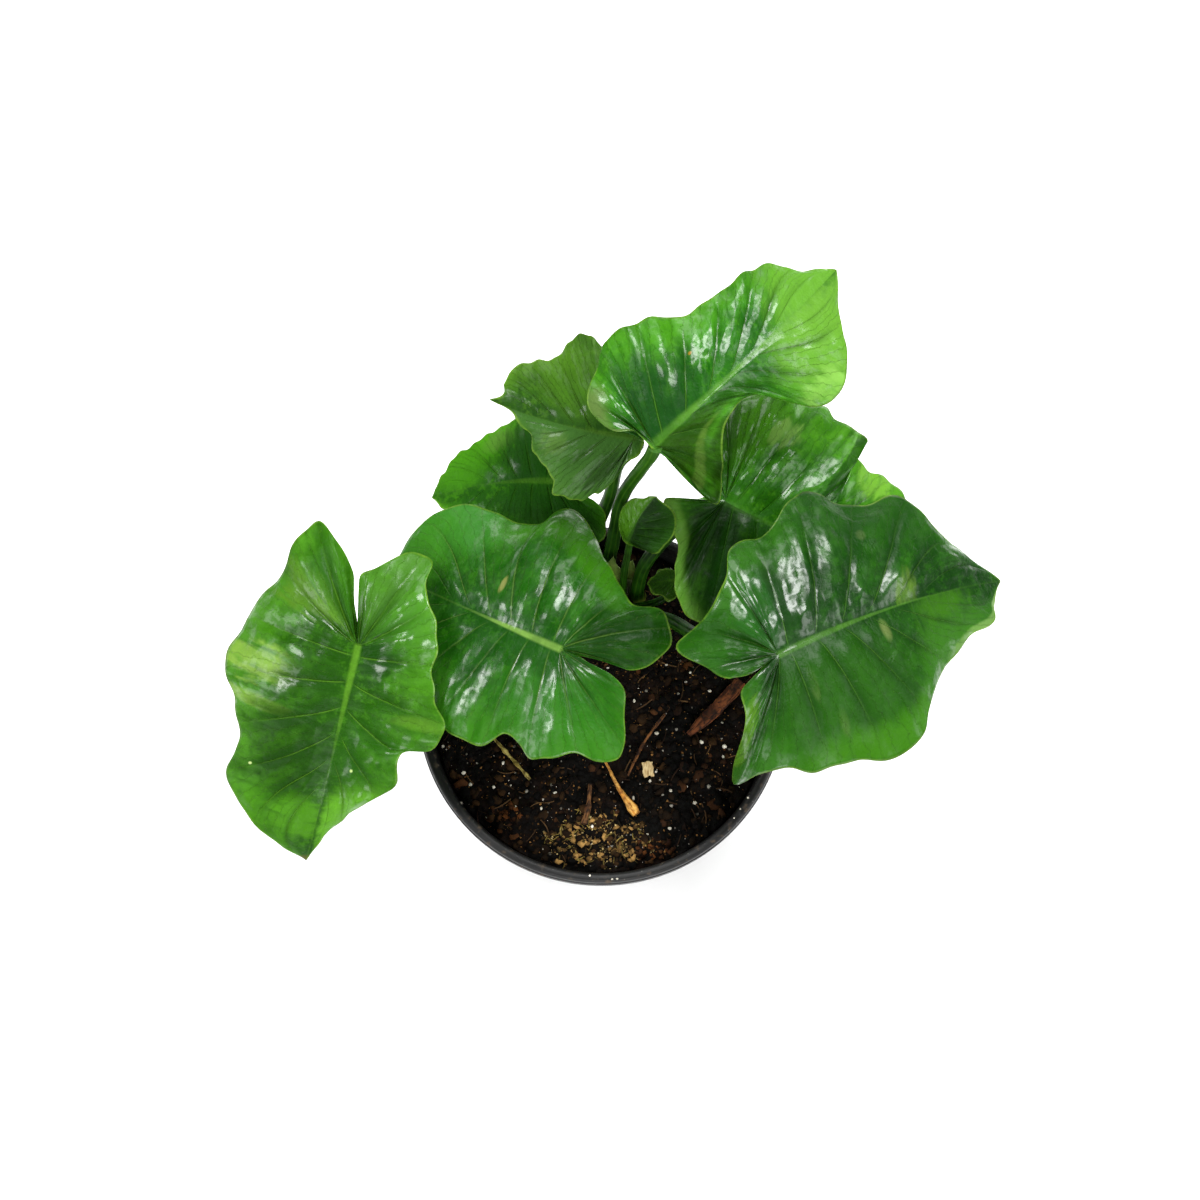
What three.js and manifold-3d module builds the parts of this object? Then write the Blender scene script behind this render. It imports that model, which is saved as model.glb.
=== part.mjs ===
// A super atom philodendron in a round nursery pot, in millimetres, +Z up.
// The origin is the centre of the pot's flat underside.
import * as THREE from 'three';
import { mergeVertices } from 'three/addons/utils/BufferGeometryUtils.js';
import Module from 'manifold-3d';

const wasm = await Module();
wasm.setup();

// Driving dimensions of the pot and its filling
const POT_HEIGHT = 90;
const LIP_RADIUS = 52.5;
const LIP_WIDTH = 3.2;
const LIP_DEPTH = 6;
const BASE_RADIUS = 37.5;
const WALL = 1.4;
const FLOOR = 2.2;
const DRAIN_HOLES = 6;
const DRAIN_RADIUS = 3.5;
const DRAIN_CIRCLE = 27;
const POT_SEGMENTS = 48;
const SOIL_LEVEL = 82;
const CLEARANCE = 0.3;

// Driving dimensions of the crown, the short stem that every leaf stalk grows from
const CROWN = new THREE.Vector2(3, 31.3);
const CROWN_TOP = 88;
const CROWN_BOTTOM = 66;
const CROWN_RADIUS = 10;
const STALK_CIRCLE = 7.4;
const STALK_BASE_RADIUS = 2.1;
const STALK_TOP_RADIUS = 1.7;
const STALK_SEAT = 2.5;
const YOUNG_CIRCLE = 3;
const SMALL_STALK_SHARE = 0.55;
const STALK_RISE = 3;
const STALK_ARRIVAL = 4;
const ARRIVAL_LEAN = 0.45;

// Driving dimensions that all leaf blades share
const BLADE_THICKNESS = 0.8;
const MIDRIB_DEPTH = 1.2;
const LOBE_SHARE = 0.4;
const VEIN_SWEEP = 1.15;
const FOLD_EASE = 2;
const WAVE_FADE_NOTCH = 0.06;
const WAVE_FADE_TIP = 0.1;
const GRID_COLUMNS = 22;
const GRID_ROWS = [0, 0.2, 0.42, 0.64, 0.84, 1];
const SMALL_COLUMNS = 12;
const SMALL_ROWS = [0, 0.35, 0.7, 1];

const DEGREE = Math.PI / 180;

// Each leaf: where its stalk meets the blade, the way its midrib points, and how the blade bends.
// heading and pitch aim the midrib, droop and back curl it down past the tip and the lobes, sway
// turns it sideways. fold and bend are angles across each half, at the lobe, the junction and the
// tip. Margins run from the notch behind the junction to the tip, x along the midrib, y to its left.
// A wave is [half, height, count, phase], a roll is [half, place, width, start, turn].
const LEAVES = [
  {
    name: 'far_left',
    colour: 0x3f8f22,
    junction: [-64.7, 4, 134],
    heading: -103,
    pitch: -14,
    droop: 40,
    back: 14,
    sway: 0,
    foldLeft: [-10, 3, 10],
    foldRight: [12, 8, 4],
    bendLeft: [40, 10, -25],
    bendRight: [-60, -50, -25],
    notch: [-5, -1.2],
    tip: [66, -4.5],
    leftMargin: [
      [-12, -2.5], [-18, -3.5], [-22, 0], [-28, 8], [-27, 13], [-21, 14], [-9, 20], [0, 22],
      [7, 23], [17, 27], [23, 25], [25, 18], [34, 17], [42, 10], [54, 1],
    ],
    rightMargin: [
      [-12, -4], [-19, -6], [-25, -11], [-31, -19], [-23, -24], [-16, -26], [-10, -31], [1, -36],
      [13, -37.5], [23, -32], [33, -29], [45, -31], [52, -25], [59, -16], [64, -9],
    ],
    waves: [[1, 1.6, 6, 30], [-1, 1.4, 6, 200]],
    rolls: [],
    crownAngle: 210,
    stalkPath: [[-24, 20.3, 107], [-47, 10.3, 116.5]],
  },
  {
    name: 'front_left',
    colour: 0x2a7a26,
    junction: [-10.9, 2.3, 137],
    heading: 155,
    pitch: -5,
    droop: 26,
    back: 20,
    sway: 0,
    foldLeft: [-8, -10, -10],
    foldRight: [14, 16, 8],
    bendLeft: [-10, -10, -15],
    bendRight: [-80, -70, -30],
    notch: [-5, -0.4],
    tip: [58, -4],
    leftMargin: [
      [-9, 0.3], [-15, 0.7], [-20, 3], [-24, 10], [-28, 20], [-22, 23], [-15, 24], [-9, 28],
      [-5, 30], [0, 27], [5, 27], [11, 32], [20, 32], [29, 26], [38, 18], [48, 8],
    ],
    rightMargin: [
      [-9, -1.2], [-15, -2.2], [-20, -3], [-24, -8], [-26, -15], [-21, -21], [-12, -19], [-6, -24],
      [1, -32], [9, -39], [16, -43], [21, -40], [23, -33], [31, -31], [41, -31], [49, -26], [55, -17],
    ],
    waves: [[1, 1.4, 7, 0], [-1, 1.6, 7, 90]],
    rolls: [],
    crownAngle: 250,
    stalkPath: [[-2, 18.3, 106], [-9, 7.3, 124]],
  },
  {
    name: 'front_right',
    colour: 0x256f24,
    junction: [46.1, -1.7, 146],
    heading: 28,
    pitch: -5,
    droop: 34,
    back: 22,
    sway: -18,
    foldLeft: [16, 18, 8],
    foldRight: [-6, -2, 2],
    bendLeft: [-60, -45, -20],
    bendRight: [-50, -35, -25],
    notch: [-4, -0.5],
    tip: [76, 6.5],
    leftMargin: [
      [-11, -1], [-18, 5], [-22, 15], [-13, 18], [-4, 23], [2, 31], [8, 34], [12, 33], [17, 34],
      [24, 39], [28, 40], [32, 37], [34, 34.5], [42, 33], [54, 33], [58, 22], [65, 16],
    ],
    rightMargin: [
      [-9, -2.2], [-13, -4], [-16, -11], [-22, -19], [-27, -26], [-18, -24], [-12, -28], [-4, -32],
      [8, -35], [22, -37], [30, -33], [34, -27], [43, -19], [54, -12], [66, -6], [68, -2],
    ],
    waves: [[1, 1.6, 8, 0], [-1, 1.6, 7, 0]],
    rolls: [[-1, 0.2, 0.16, 0.6, -60]],
    crownAngle: 285,
    stalkPath: [[18, 20.9, 101], [26, 13.3, 112]],
  },
  {
    name: 'top_right',
    colour: 0x4fae26,
    junction: [13.7, 47.8, 168],
    heading: 42,
    pitch: 8,
    droop: 30,
    back: 26,
    sway: 7,
    foldLeft: [22, 20, 8],
    foldRight: [-75, -72, -6],
    bendLeft: [-50, -30, -20],
    bendRight: [0, 20, -20],
    notch: [-1, -1],
    tip: [74, 2.6],
    leftMargin: [
      [-1, 4], [-2, 10], [-6, 16], [-5, 20], [2, 26], [8, 29], [14, 29], [21, 26], [29, 21],
      [40, 19], [50, 18], [58, 16], [64, 11],
    ],
    rightMargin: [
      [0, -5], [2, -12], [3, -20], [3, -28], [5, -32], [9, -29], [13, -21], [16, -13], [20, -9.5],
      [27, -8.5], [33, -11], [37, -16], [46, -23], [53, -21], [58, -18], [62, -10],
    ],
    waves: [[1, 1.4, 6, 0], [-1, 1.2, 6, 0]],
    rolls: [[1, 0.22, 0.16, 0.7, -70], [-1, 0.3, 0.22, 0.75, 50]],
    crownAngle: 100,
    stalkPath: [[3.4, 42.3, 108], [5.8, 47.3, 130], [10.5, 48.1, 150]],
    stalkSeat: 4.8,
  },
  {
    name: 'mid_right',
    colour: 0x2f7d24,
    junction: [33.8, 46.4, 129],
    heading: -28,
    pitch: -8,
    droop: 28,
    back: 18,
    sway: 22,
    foldLeft: [18, 18, 8],
    foldRight: [-16, -18, -8],
    bendLeft: [-60, -50, -20],
    bendRight: [-20, -20, -10],
    notch: [-4, -0.5],
    tip: [65, 7.5],
    leftMargin: [
      [-6, 4], [-9, 11], [-8, 17], [-9, 25], [-8, 33], [-2, 38.5], [9, 40.5], [15, 42], [19, 39],
      [26, 37], [30, 33], [28, 28], [33, 27], [41, 27], [47, 25], [53, 19], [60, 13],
    ],
    rightMargin: [
      [-8, -3.5], [-15, -7], [-12, -11], [-9, -14], [-5, -19], [-3, -25], [3, -31], [9, -33],
      [18, -32], [28, -26], [37, -16], [48, -7], [58, 0],
    ],
    waves: [[1, 2, 7, 0], [-1, 1.2, 6, 0]],
    rolls: [[-1, 0.3, 0.25, 0.7, 45]],
    crownAngle: 5,
    stalkPath: [[12.5, 36.1, 105], [20.2, 41.7, 117]],
  },
  {
    name: 'top_left',
    colour: 0x567a36,
    junction: [8.6, 56.5, 151],
    heading: 175,
    pitch: 6,
    droop: 30,
    back: 8,
    sway: -20,
    foldLeft: [-24, -30, -30],
    foldRight: [10, 12, 8],
    bendLeft: [-15, -10, -5],
    bendRight: [-50, -50, -20],
    notch: [-3, 1],
    tip: [42, -3.2],
    leftMargin: [
      [-2, 4], [2, 8], [4, 13], [8, 17], [14, 19.5], [20, 18], [21, 14], [26, 10], [29, 4], [34, -1],
    ],
    rightMargin: [
      [-3, -4], [-1, -10], [1, -19], [7, -25.5], [12, -27], [18, -29], [22, -26], [25, -21],
      [34, -16], [38, -9], [37.5, -5.5],
    ],
    waves: [[1, 1.2, 5, 0], [-1, 1.4, 5, 0]],
    rolls: [],
    crownAngle: 135,
    stalkPath: [[-2.5, 43.8, 101], [2.5, 50.8, 122], [5, 53.8, 140]],
  },
  {
    name: 'mid_left',
    colour: 0x3d8a27,
    junction: [-13.4, 55.1, 121],
    heading: 178,
    pitch: 2,
    droop: 36,
    back: 14,
    sway: 18,
    foldLeft: [6, 6, 4],
    foldRight: [10, 10, 6],
    bendLeft: [-40, -40, -30],
    bendRight: [-30, -30, -20],
    notch: [-3, 1],
    tip: [36.4, -2.6],
    leftMargin: [
      [-5, 5], [-10, 4.6], [-14, 7], [-16, 11], [-15, 16], [-9, 19], [0, 18], [11, 15], [21, 10], [30, 5],
    ],
    rightMargin: [
      [-5, -1.5], [-9, -3.5], [-12, -8], [-10, -15], [-4, -19], [3, -20], [10, -19], [18, -17],
      [25, -13], [32, -7],
    ],
    waves: [[1, 1, 5, 0], [-1, 1, 5, 0]],
    rolls: [],
    crownAngle: 170,
    stalkPath: [[-7.5, 40.3, 100], [-13, 51.3, 111]],
  },
  {
    name: 'young',
    colour: 0x6fae45,
    junction: [7, 36.2, 126],
    heading: 60,
    pitch: 40,
    droop: 10,
    back: 0,
    sway: 0,
    foldLeft: [50, 50, 20],
    foldRight: [30, 30, 10],
    bendLeft: [0, 0, 0],
    bendRight: [0, 0, 0],
    notch: [-1, 0],
    tip: [15, -2],
    leftMargin: [[0, 2], [4, 5], [9, 5], [13, 2]],
    rightMargin: [[0, -3], [3, -8], [8, -10], [12, -7]],
    waves: [],
    rolls: [],
    crownAngle: 0,
    stalkPath: [[6.5, 33.3, 106]],
    stalkCircle: YOUNG_CIRCLE,
    small: true,
  },
  {
    name: 'lower',
    colour: 0x4f7a2c,
    junction: [23.3, 32.3, 102],
    heading: 186,
    pitch: 5,
    droop: 14,
    back: 0,
    sway: 0,
    foldLeft: [4, 4, 4],
    foldRight: [4, 4, 4],
    bendLeft: [0, 0, 0],
    bendRight: [0, 0, 0],
    notch: [-1, 0],
    tip: [10.5, 0],
    leftMargin: [[0, 3], [3.5, 5.5], [8, 4.5]],
    rightMargin: [[0, -2.5], [3.5, -3.5], [7.5, -3]],
    waves: [],
    rolls: [],
    crownAngle: 325,
    stalkPath: [[16, 27.8, 95]],
    stalkCircle: STALK_CIRCLE,
    small: true,
  },
];

// The dry sheaths that wrap the stalks' feet, small blades standing almost upright
const SHEATHS = [
  { name: 'sheath_tall', foot: [2.6, 33.8], heading: 78, pitch: 82, length: 18, width: 3.2 },
  { name: 'sheath_short', foot: [7.6, 36.7], heading: 60, pitch: 80, length: 10, width: 2.6 },
];

// What lies on the soil: a path seen from above, then the radius at its start and end
const LITTER = [
  {
    name: 'dry_root',
    path: [[1.1, -16.2], [5, -24.2], [10, -31.7]],
    radii: [0.7, 1.7],
    flatten: 1,
    colour: 0xc89a55,
  },
  {
    name: 'brown_twig',
    path: [[18.3, -2.4], [12, -11.2], [7.6, -20.3]],
    radii: [0.9, 0.6],
    flatten: 1,
    colour: 0x6b4126,
  },
  {
    name: 'bark_strip',
    path: [[40.5, 7.3], [32.8, -0.9], [25, -8.3]],
    radii: [3, 2.4],
    flatten: 0.35,
    colour: 0x5c3223,
  },
  {
    name: 'pale_root',
    path: [[-30.5, -9.8], [-25.5, -15.6], [-20.3, -21.5]],
    radii: [0.9, 0.6],
    flatten: 1,
    colour: 0xb9a24a,
  },
  {
    name: 'short_twig',
    path: [[-3.2, -22.9], [-3.6, -28.7], [-4.9, -34.5]],
    radii: [0.8, 1.2],
    flatten: 1,
    colour: 0x4c3023,
  },
];
const LITTER_GAP = 0.6;
const CHIP = { x: 13.3, y: -18.5, length: 4.5, width: 3.6, height: 1.6, turn: 12 };

const plant = new THREE.Group();

function addPart(name, geometry, colour, roughness) {
  const material = new THREE.MeshStandardMaterial({ color: colour, roughness, metalness: 0 });
  const mesh = new THREE.Mesh(geometry, material);
  mesh.name = name;
  plant.add(mesh);
}

// Closed meshes as solids for joins and cuts, and back again

function toSolid(geometry) {
  const bare = geometry.clone();
  bare.deleteAttribute('normal');
  bare.deleteAttribute('uv');
  const merged = mergeVertices(bare, 1e-4);
  return new wasm.Manifold(new wasm.Mesh({
    numProp: 3,
    vertProperties: new Float32Array(merged.attributes.position.array),
    triVerts: new Uint32Array(merged.index.array),
  }));
}

function fromSolid(solid) {
  const { vertProperties, triVerts } = solid.getMesh();
  const geometry = new THREE.BufferGeometry();
  geometry.setAttribute('position', new THREE.BufferAttribute(vertProperties, 3));
  geometry.setIndex(new THREE.BufferAttribute(triVerts, 1));
  geometry.computeVertexNormals();
  return geometry;
}

function turned(profile, segments) {
  const points = profile.map(([radius, height]) => new THREE.Vector2(radius, height));
  return new THREE.LatheGeometry(points, segments).rotateX(Math.PI / 2);
}

function upright(radius, bottom, top, x, y, segments) {
  const post = new THREE.CylinderGeometry(radius, radius, top - bottom, segments);
  return post.rotateX(Math.PI / 2).translate(x, y, (top + bottom) / 2);
}

// Pot: a tapered wall under a wider lip band, with drain holes through the floor

const WALL_TOP = POT_HEIGHT - LIP_DEPTH;
const WALL_TOP_RADIUS = LIP_RADIUS - LIP_WIDTH + WALL;

function innerRadius(height) {
  const share = (height - FLOOR) / (WALL_TOP - FLOOR);
  return THREE.MathUtils.lerp(BASE_RADIUS - WALL, WALL_TOP_RADIUS - WALL, Math.min(share, 1));
}

function makePot() {
  const inner = LIP_RADIUS - LIP_WIDTH;
  const body = toSolid(turned([
    [0, 0],
    [BASE_RADIUS - 1.5, 0],
    [BASE_RADIUS, 1.5],
    [WALL_TOP_RADIUS, WALL_TOP],
    [LIP_RADIUS - 1, WALL_TOP],
    [LIP_RADIUS, WALL_TOP + 1],
    [LIP_RADIUS, POT_HEIGHT - 1],
    [LIP_RADIUS - 1, POT_HEIGHT],
    [inner + 1, POT_HEIGHT],
    [inner, POT_HEIGHT - 1],
    [inner, WALL_TOP],
    [BASE_RADIUS - WALL, FLOOR],
    [0, FLOOR],
  ], POT_SEGMENTS));
  let pot = body;
  for (let i = 0; i < DRAIN_HOLES; i += 1) {
    const angle = (i + 0.5) * 2 * Math.PI / DRAIN_HOLES;
    const x = DRAIN_CIRCLE * Math.cos(angle);
    const y = DRAIN_CIRCLE * Math.sin(angle);
    pot = pot.subtract(toSolid(upright(DRAIN_RADIUS, -1, FLOOR + 1, x, y, 16)));
  }
  return fromSolid(pot);
}

// Soil: fills the pot to a little under the lip, with a gently uneven top

const SOIL_DIP = 3;
const SOIL_EDGE = innerRadius(SOIL_LEVEL - SOIL_DIP) - CLEARANCE;
const SOIL_EDGE_BLEND = 6;

function soilHeight(x, y) {
  const swell = 0.9 * Math.sin(0.16 * x + 0.6) * Math.cos(0.13 * y - 0.4);
  const ripple = 0.45 * Math.sin(0.34 * x - 0.27 * y);
  const edge = SOIL_EDGE - Math.hypot(x, y);
  const dip = 1.2 * Math.exp(-Math.max(edge, 0) / SOIL_EDGE_BLEND);
  return SOIL_LEVEL + swell + ripple - dip;
}

function makeSoil() {
  const bottom = FLOOR + CLEARANCE;
  const profile = [[0, bottom], [innerRadius(bottom) - CLEARANCE, bottom]];
  for (const share of [1, 0.88, 0.74, 0.6, 0.45, 0.3, 0.15, 0]) {
    profile.push([share * SOIL_EDGE, SOIL_LEVEL]);
  }
  const filling = turned(profile, POT_SEGMENTS);
  const points = filling.attributes.position;
  for (let i = 0; i < points.count; i += 1) {
    if (points.getZ(i) > SOIL_LEVEL - 0.01) {
      points.setZ(i, soilHeight(points.getX(i), points.getY(i)));
    }
  }
  const hole = upright(
    CROWN_RADIUS + CLEARANCE, CROWN_BOTTOM - CLEARANCE, POT_HEIGHT + 5, CROWN.x, CROWN.y, 24,
  );
  return fromSolid(toSolid(filling).subtract(toSolid(hole)));
}

function makeCrown() {
  const stem = turned([
    [0, CROWN_BOTTOM],
    [0.7 * CROWN_RADIUS, CROWN_BOTTOM],
    [0.9 * CROWN_RADIUS, CROWN_BOTTOM + 6],
    [CROWN_RADIUS, SOIL_LEVEL - 3],
    [CROWN_RADIUS, CROWN_TOP - 1],
    [CROWN_RADIUS - 0.8, CROWN_TOP],
    [0, CROWN_TOP],
  ], 24);
  return stem.translate(CROWN.x, CROWN.y, 0);
}

// Leaf blades

function alongLeaf([lobe, junction, tip], t) {
  const share = THREE.MathUtils.clamp(Math.abs(t), 0, 1);
  const eased = share * share * (3 - 2 * share);
  return THREE.MathUtils.lerp(junction, t < 0 ? lobe : tip, eased);
}

function leafSize(leaf) {
  const outline = [...leaf.leftMargin, ...leaf.rightMargin, leaf.notch, leaf.tip];
  return {
    length: leaf.tip[0],
    lobes: Math.max(1, ...outline.map(([x]) => -x)),
    width: Math.max(...outline.map(([, y]) => Math.abs(y))),
  };
}

// Takes a point of the flat leaf, lifted off its plane, to where the bent blade holds it
function placeOnBlade(leaf, size, x, y, lift) {
  const ahead = x >= 0;
  const turn = ahead ? -leaf.droop * DEGREE / size.length : -leaf.back * DEGREE / size.lobes;
  const curve = Math.abs(turn) < 1e-6 ? 1e-6 : turn;
  const slope = curve * x;
  const t = ahead ? x / size.length : x / size.lobes;
  const fold = alongLeaf(y >= 0 ? leaf.foldLeft : leaf.foldRight, t) * DEGREE;
  const bend = alongLeaf(y >= 0 ? leaf.bendLeft : leaf.bendRight, t) * DEGREE / size.width;
  const arc = Math.abs(bend) < 1e-6 ? 1e-6 : bend;
  const reach = Math.abs(y);
  const edge = fold + arc * reach;
  const eased = reach / (reach + FOLD_EASE);
  const rise = (Math.cos(fold) - Math.cos(edge)) / arc * eased + Math.cos(edge) * lift;
  const side = (Math.sin(edge) - Math.sin(fold)) / arc - Math.sin(edge) * lift;
  const point = new THREE.Vector3(
    Math.sin(slope) / curve - Math.sin(slope) * rise,
    y >= 0 ? side : -side,
    (1 - Math.cos(slope)) / curve + Math.cos(slope) * rise,
  );
  const sideways = leaf.sway * DEGREE * Math.max(x, 0) / (2 * size.length);
  point.applyAxisAngle(new THREE.Vector3(0, 0, 1), sideways);
  point.applyAxisAngle(new THREE.Vector3(0, 1, 0), -leaf.pitch * DEGREE);
  point.applyAxisAngle(new THREE.Vector3(0, 0, 1), leaf.heading * DEGREE);
  return point.add(new THREE.Vector3(...leaf.junction));
}

// One half as a grid: rows from the midrib out to the margin, columns from the notch to the tip
function halfBlade(leaf, size, half, columns, rows) {
  const margin = half > 0 ? leaf.leftMargin : leaf.rightMargin;
  const outline = [leaf.notch, ...margin, leaf.tip].map(([x, y]) => new THREE.Vector3(x, y, 0));
  const edge = new THREE.CatmullRomCurve3(outline, false, 'centripetal').getSpacedPoints(columns);
  const grid = [];
  for (const row of rows) {
    for (let i = 0; i <= columns; i += 1) {
      const u = i / columns;
      const along = Math.max(0, (u - LOBE_SHARE) / (1 - LOBE_SHARE));
      const rootX = size.length * along;
      const rootY = leaf.tip[1] * along * along;
      const reachX = edge[i].x - rootX;
      const reachY = edge[i].y - rootY;
      const reach = Math.hypot(reachX, reachY);
      let stretch = 1;
      let lift = 0;
      for (const [rollHalf, place, width, start, turn] of leaf.rolls) {
        const near = 1 - ((u - place) / width) ** 2;
        if (rollHalf !== half || near <= 0 || row <= start || reach < 1) {
          continue;
        }
        const curl = turn * DEGREE * near * near / ((1 - start) * reach);
        const past = (row - start) * reach;
        stretch = (start * reach + Math.sin(curl * past) / curl) / (row * reach);
        lift += (1 - Math.cos(curl * past)) / curl;
      }
      for (const [waveHalf, height, count, phase] of leaf.waves) {
        if (waveHalf === half) {
          const ends = Math.min(u / WAVE_FADE_NOTCH, (1 - u) / WAVE_FADE_TIP, 1);
          lift += height * row * row * ends * Math.sin(Math.PI * count * u + phase * DEGREE);
        }
      }
      const x = rootX + reachX * row ** VEIN_SWEEP * stretch;
      const y = rootY + reachY * row * stretch;
      const keel = row === 0 ? MIDRIB_DEPTH * (1 - along) : 0;
      grid.push({ point: placeOnBlade(leaf, size, x, y, lift), depth: BLADE_THICKNESS + keel });
    }
  }
  return grid;
}

function addTriangle(index, a, b, c) {
  if (a !== b && b !== c && c !== a) {
    index.push(a, b, c);
  }
}

function bladeSheet(leaf, columns, rows) {
  const size = leafSize(leaf);
  const points = [];
  const depths = [];
  const index = [];
  for (const half of [1, -1]) {
    const first = depths.length;
    for (const { point, depth } of halfBlade(leaf, size, half, columns, rows)) {
      points.push(...point.toArray());
      depths.push(depth);
    }
    for (let j = 0; j < rows.length - 1; j += 1) {
      for (let i = 0; i < columns; i += 1) {
        const a = first + j * (columns + 1) + i;
        const b = a + 1;
        const c = b + columns + 1;
        const d = a + columns + 1;
        if (half > 0) {
          index.push(a, b, c, a, c, d);
        } else {
          index.push(a, c, b, a, d, c);
        }
      }
    }
  }
  const sheet = new THREE.BufferGeometry();
  sheet.setAttribute('position', new THREE.Float32BufferAttribute(points, 3));
  sheet.setAttribute('depth', new THREE.Float32BufferAttribute(depths, 1));
  sheet.setIndex(index);
  const merged = mergeVertices(sheet, 1e-3);
  const kept = [];
  const corners = merged.index.array;
  for (let i = 0; i < corners.length; i += 3) {
    addTriangle(kept, corners[i], corners[i + 1], corners[i + 2]);
  }
  merged.setIndex(kept);
  merged.computeVertexNormals();
  return merged;
}

// Gives a sheet its thickness: the same triangles underneath, and a strip round the margin
function thicken(sheet) {
  const top = sheet.attributes.position;
  const normal = sheet.attributes.normal;
  const depth = sheet.attributes.depth;
  const corners = sheet.index.array;
  const points = Array.from(top.array);
  for (let i = 0; i < top.count; i += 1) {
    const under = new THREE.Vector3().fromBufferAttribute(top, i);
    const down = new THREE.Vector3().fromBufferAttribute(normal, i);
    points.push(...under.addScaledVector(down, -depth.getX(i)).toArray());
  }
  const index = [];
  const open = new Map();
  for (let i = 0; i < corners.length; i += 3) {
    const triangle = [corners[i], corners[i + 1], corners[i + 2]];
    index.push(...triangle);
    index.push(...triangle.map((corner) => corner + top.count).reverse());
    triangle.forEach((from, k) => {
      const to = triangle[(k + 1) % 3];
      if (!open.delete(`${to} ${from}`)) {
        open.set(`${from} ${to}`, [from, to]);
      }
    });
  }
  for (const [from, to] of open.values()) {
    index.push(from, from + top.count, to + top.count);
    index.push(from, to + top.count, to);
  }
  const solid = new THREE.BufferGeometry();
  solid.setAttribute('position', new THREE.Float32BufferAttribute(points, 3));
  solid.setIndex(index);
  solid.computeVertexNormals();
  return solid;
}

// Round stems, roots and twigs: rings along a curve, closed at both ends
function taperedStem(curve, radiusAt, steps, sides, flatten = 1) {
  const frames = curve.computeFrenetFrames(steps, false);
  const points = [];
  const index = [];
  for (let i = 0; i <= steps; i += 1) {
    const centre = curve.getPointAt(i / steps);
    const radius = radiusAt(i / steps);
    const tangent = frames.tangents[i];
    const level = new THREE.Vector3(tangent.y, -tangent.x, 0);
    const across = level.length() > 0.05 && flatten < 1 ? level.normalize() : frames.normals[i];
    const upward = new THREE.Vector3().crossVectors(across, tangent);
    for (let k = 0; k < sides; k += 1) {
      const angle = 2 * Math.PI * k / sides;
      const rim = centre.clone();
      rim.addScaledVector(across, radius * Math.cos(angle));
      rim.addScaledVector(upward, radius * flatten * Math.sin(angle));
      points.push(...rim.toArray());
    }
  }
  for (let i = 0; i < steps; i += 1) {
    for (let k = 0; k < sides; k += 1) {
      const a = i * sides + k;
      const b = i * sides + (k + 1) % sides;
      index.push(a, a + sides, b + sides, a, b + sides, b);
    }
  }
  for (let k = 1; k < sides - 1; k += 1) {
    const last = steps * sides;
    index.push(0, k, k + 1);
    index.push(last, last + k + 1, last + k);
  }
  const stem = new THREE.BufferGeometry();
  stem.setAttribute('position', new THREE.Float32BufferAttribute(points, 3));
  stem.setIndex(index);
  stem.computeVertexNormals();
  return stem;
}

// A leaf's stalk leaves the crown upright and arches over to meet the blade from below
function stalkCurve(leaf) {
  const size = leafSize(leaf);
  const junction = new THREE.Vector3(...leaf.junction);
  const forward = placeOnBlade(leaf, size, 1, 0, 0).sub(junction).normalize();
  const level = new THREE.Vector3(forward.y, -forward.x, 0).normalize();
  const down = new THREE.Vector3().crossVectors(forward, level).normalize();
  if (down.z > 0) {
    down.negate();
  }
  const arrival = down.clone().negate().addScaledVector(forward, ARRIVAL_LEAN).normalize();
  const end = junction.clone().addScaledVector(down, leaf.stalkSeat ?? STALK_SEAT);
  const angle = leaf.crownAngle * DEGREE;
  const radius = leaf.stalkCircle ?? STALK_CIRCLE;
  const start = new THREE.Vector3(
    CROWN.x + radius * Math.cos(angle),
    CROWN.y + radius * Math.sin(angle),
    CROWN_TOP + CLEARANCE,
  );
  return new THREE.CatmullRomCurve3([
    start,
    start.clone().add(new THREE.Vector3(0, 0, STALK_RISE)),
    ...leaf.stalkPath.map((point) => new THREE.Vector3(...point)),
    end.clone().addScaledVector(arrival, -STALK_ARRIVAL),
    end,
  ], false, 'centripetal');
}

function makeStalk(leaf) {
  const slim = leaf.small ? SMALL_STALK_SHARE : 1;
  const radiusAt = (t) => slim * THREE.MathUtils.lerp(STALK_BASE_RADIUS, STALK_TOP_RADIUS, t);
  return taperedStem(stalkCurve(leaf), radiusAt, 10, 8);
}

// A sheath is a narrow blade folded back round the stalks behind it
function makeSheath({ foot, heading, pitch, length, width }) {
  const fold = [-15, -15, -10];
  const bend = [-40, -40, -20];
  const sheath = {
    junction: [...foot, CROWN_TOP + CLEARANCE + 1],
    heading,
    pitch,
    droop: 8,
    back: 0,
    sway: 0,
    foldLeft: fold,
    foldRight: fold,
    bendLeft: bend,
    bendRight: bend,
    notch: [-0.8, 0],
    tip: [length, 0],
    leftMargin: [[0, width], [0.45 * length, 0.9 * width]],
    rightMargin: [[0, -width], [0.45 * length, -0.9 * width]],
    waves: [],
    rolls: [],
  };
  return thicken(bladeSheet(sheath, 10, [0, 0.5, 1]));
}

function makeLitter({ path, radii: [first, last], flatten }) {
  const clear = flatten * Math.max(first, last) + LITTER_GAP;
  const points = path.map(([x, y]) => new THREE.Vector3(x, y, soilHeight(x, y) + clear));
  const curve = new THREE.CatmullRomCurve3(points, false, 'centripetal');
  return taperedStem(curve, (t) => THREE.MathUtils.lerp(first, last, t), 8, 6, flatten);
}

function makeChip() {
  const block = new THREE.BoxGeometry(CHIP.width, CHIP.length, CHIP.height);
  const level = soilHeight(CHIP.x, CHIP.y) + CHIP.height / 2 + LITTER_GAP;
  return block.rotateZ(CHIP.turn * DEGREE).translate(CHIP.x, CHIP.y, level);
}

// The whole plant

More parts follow.
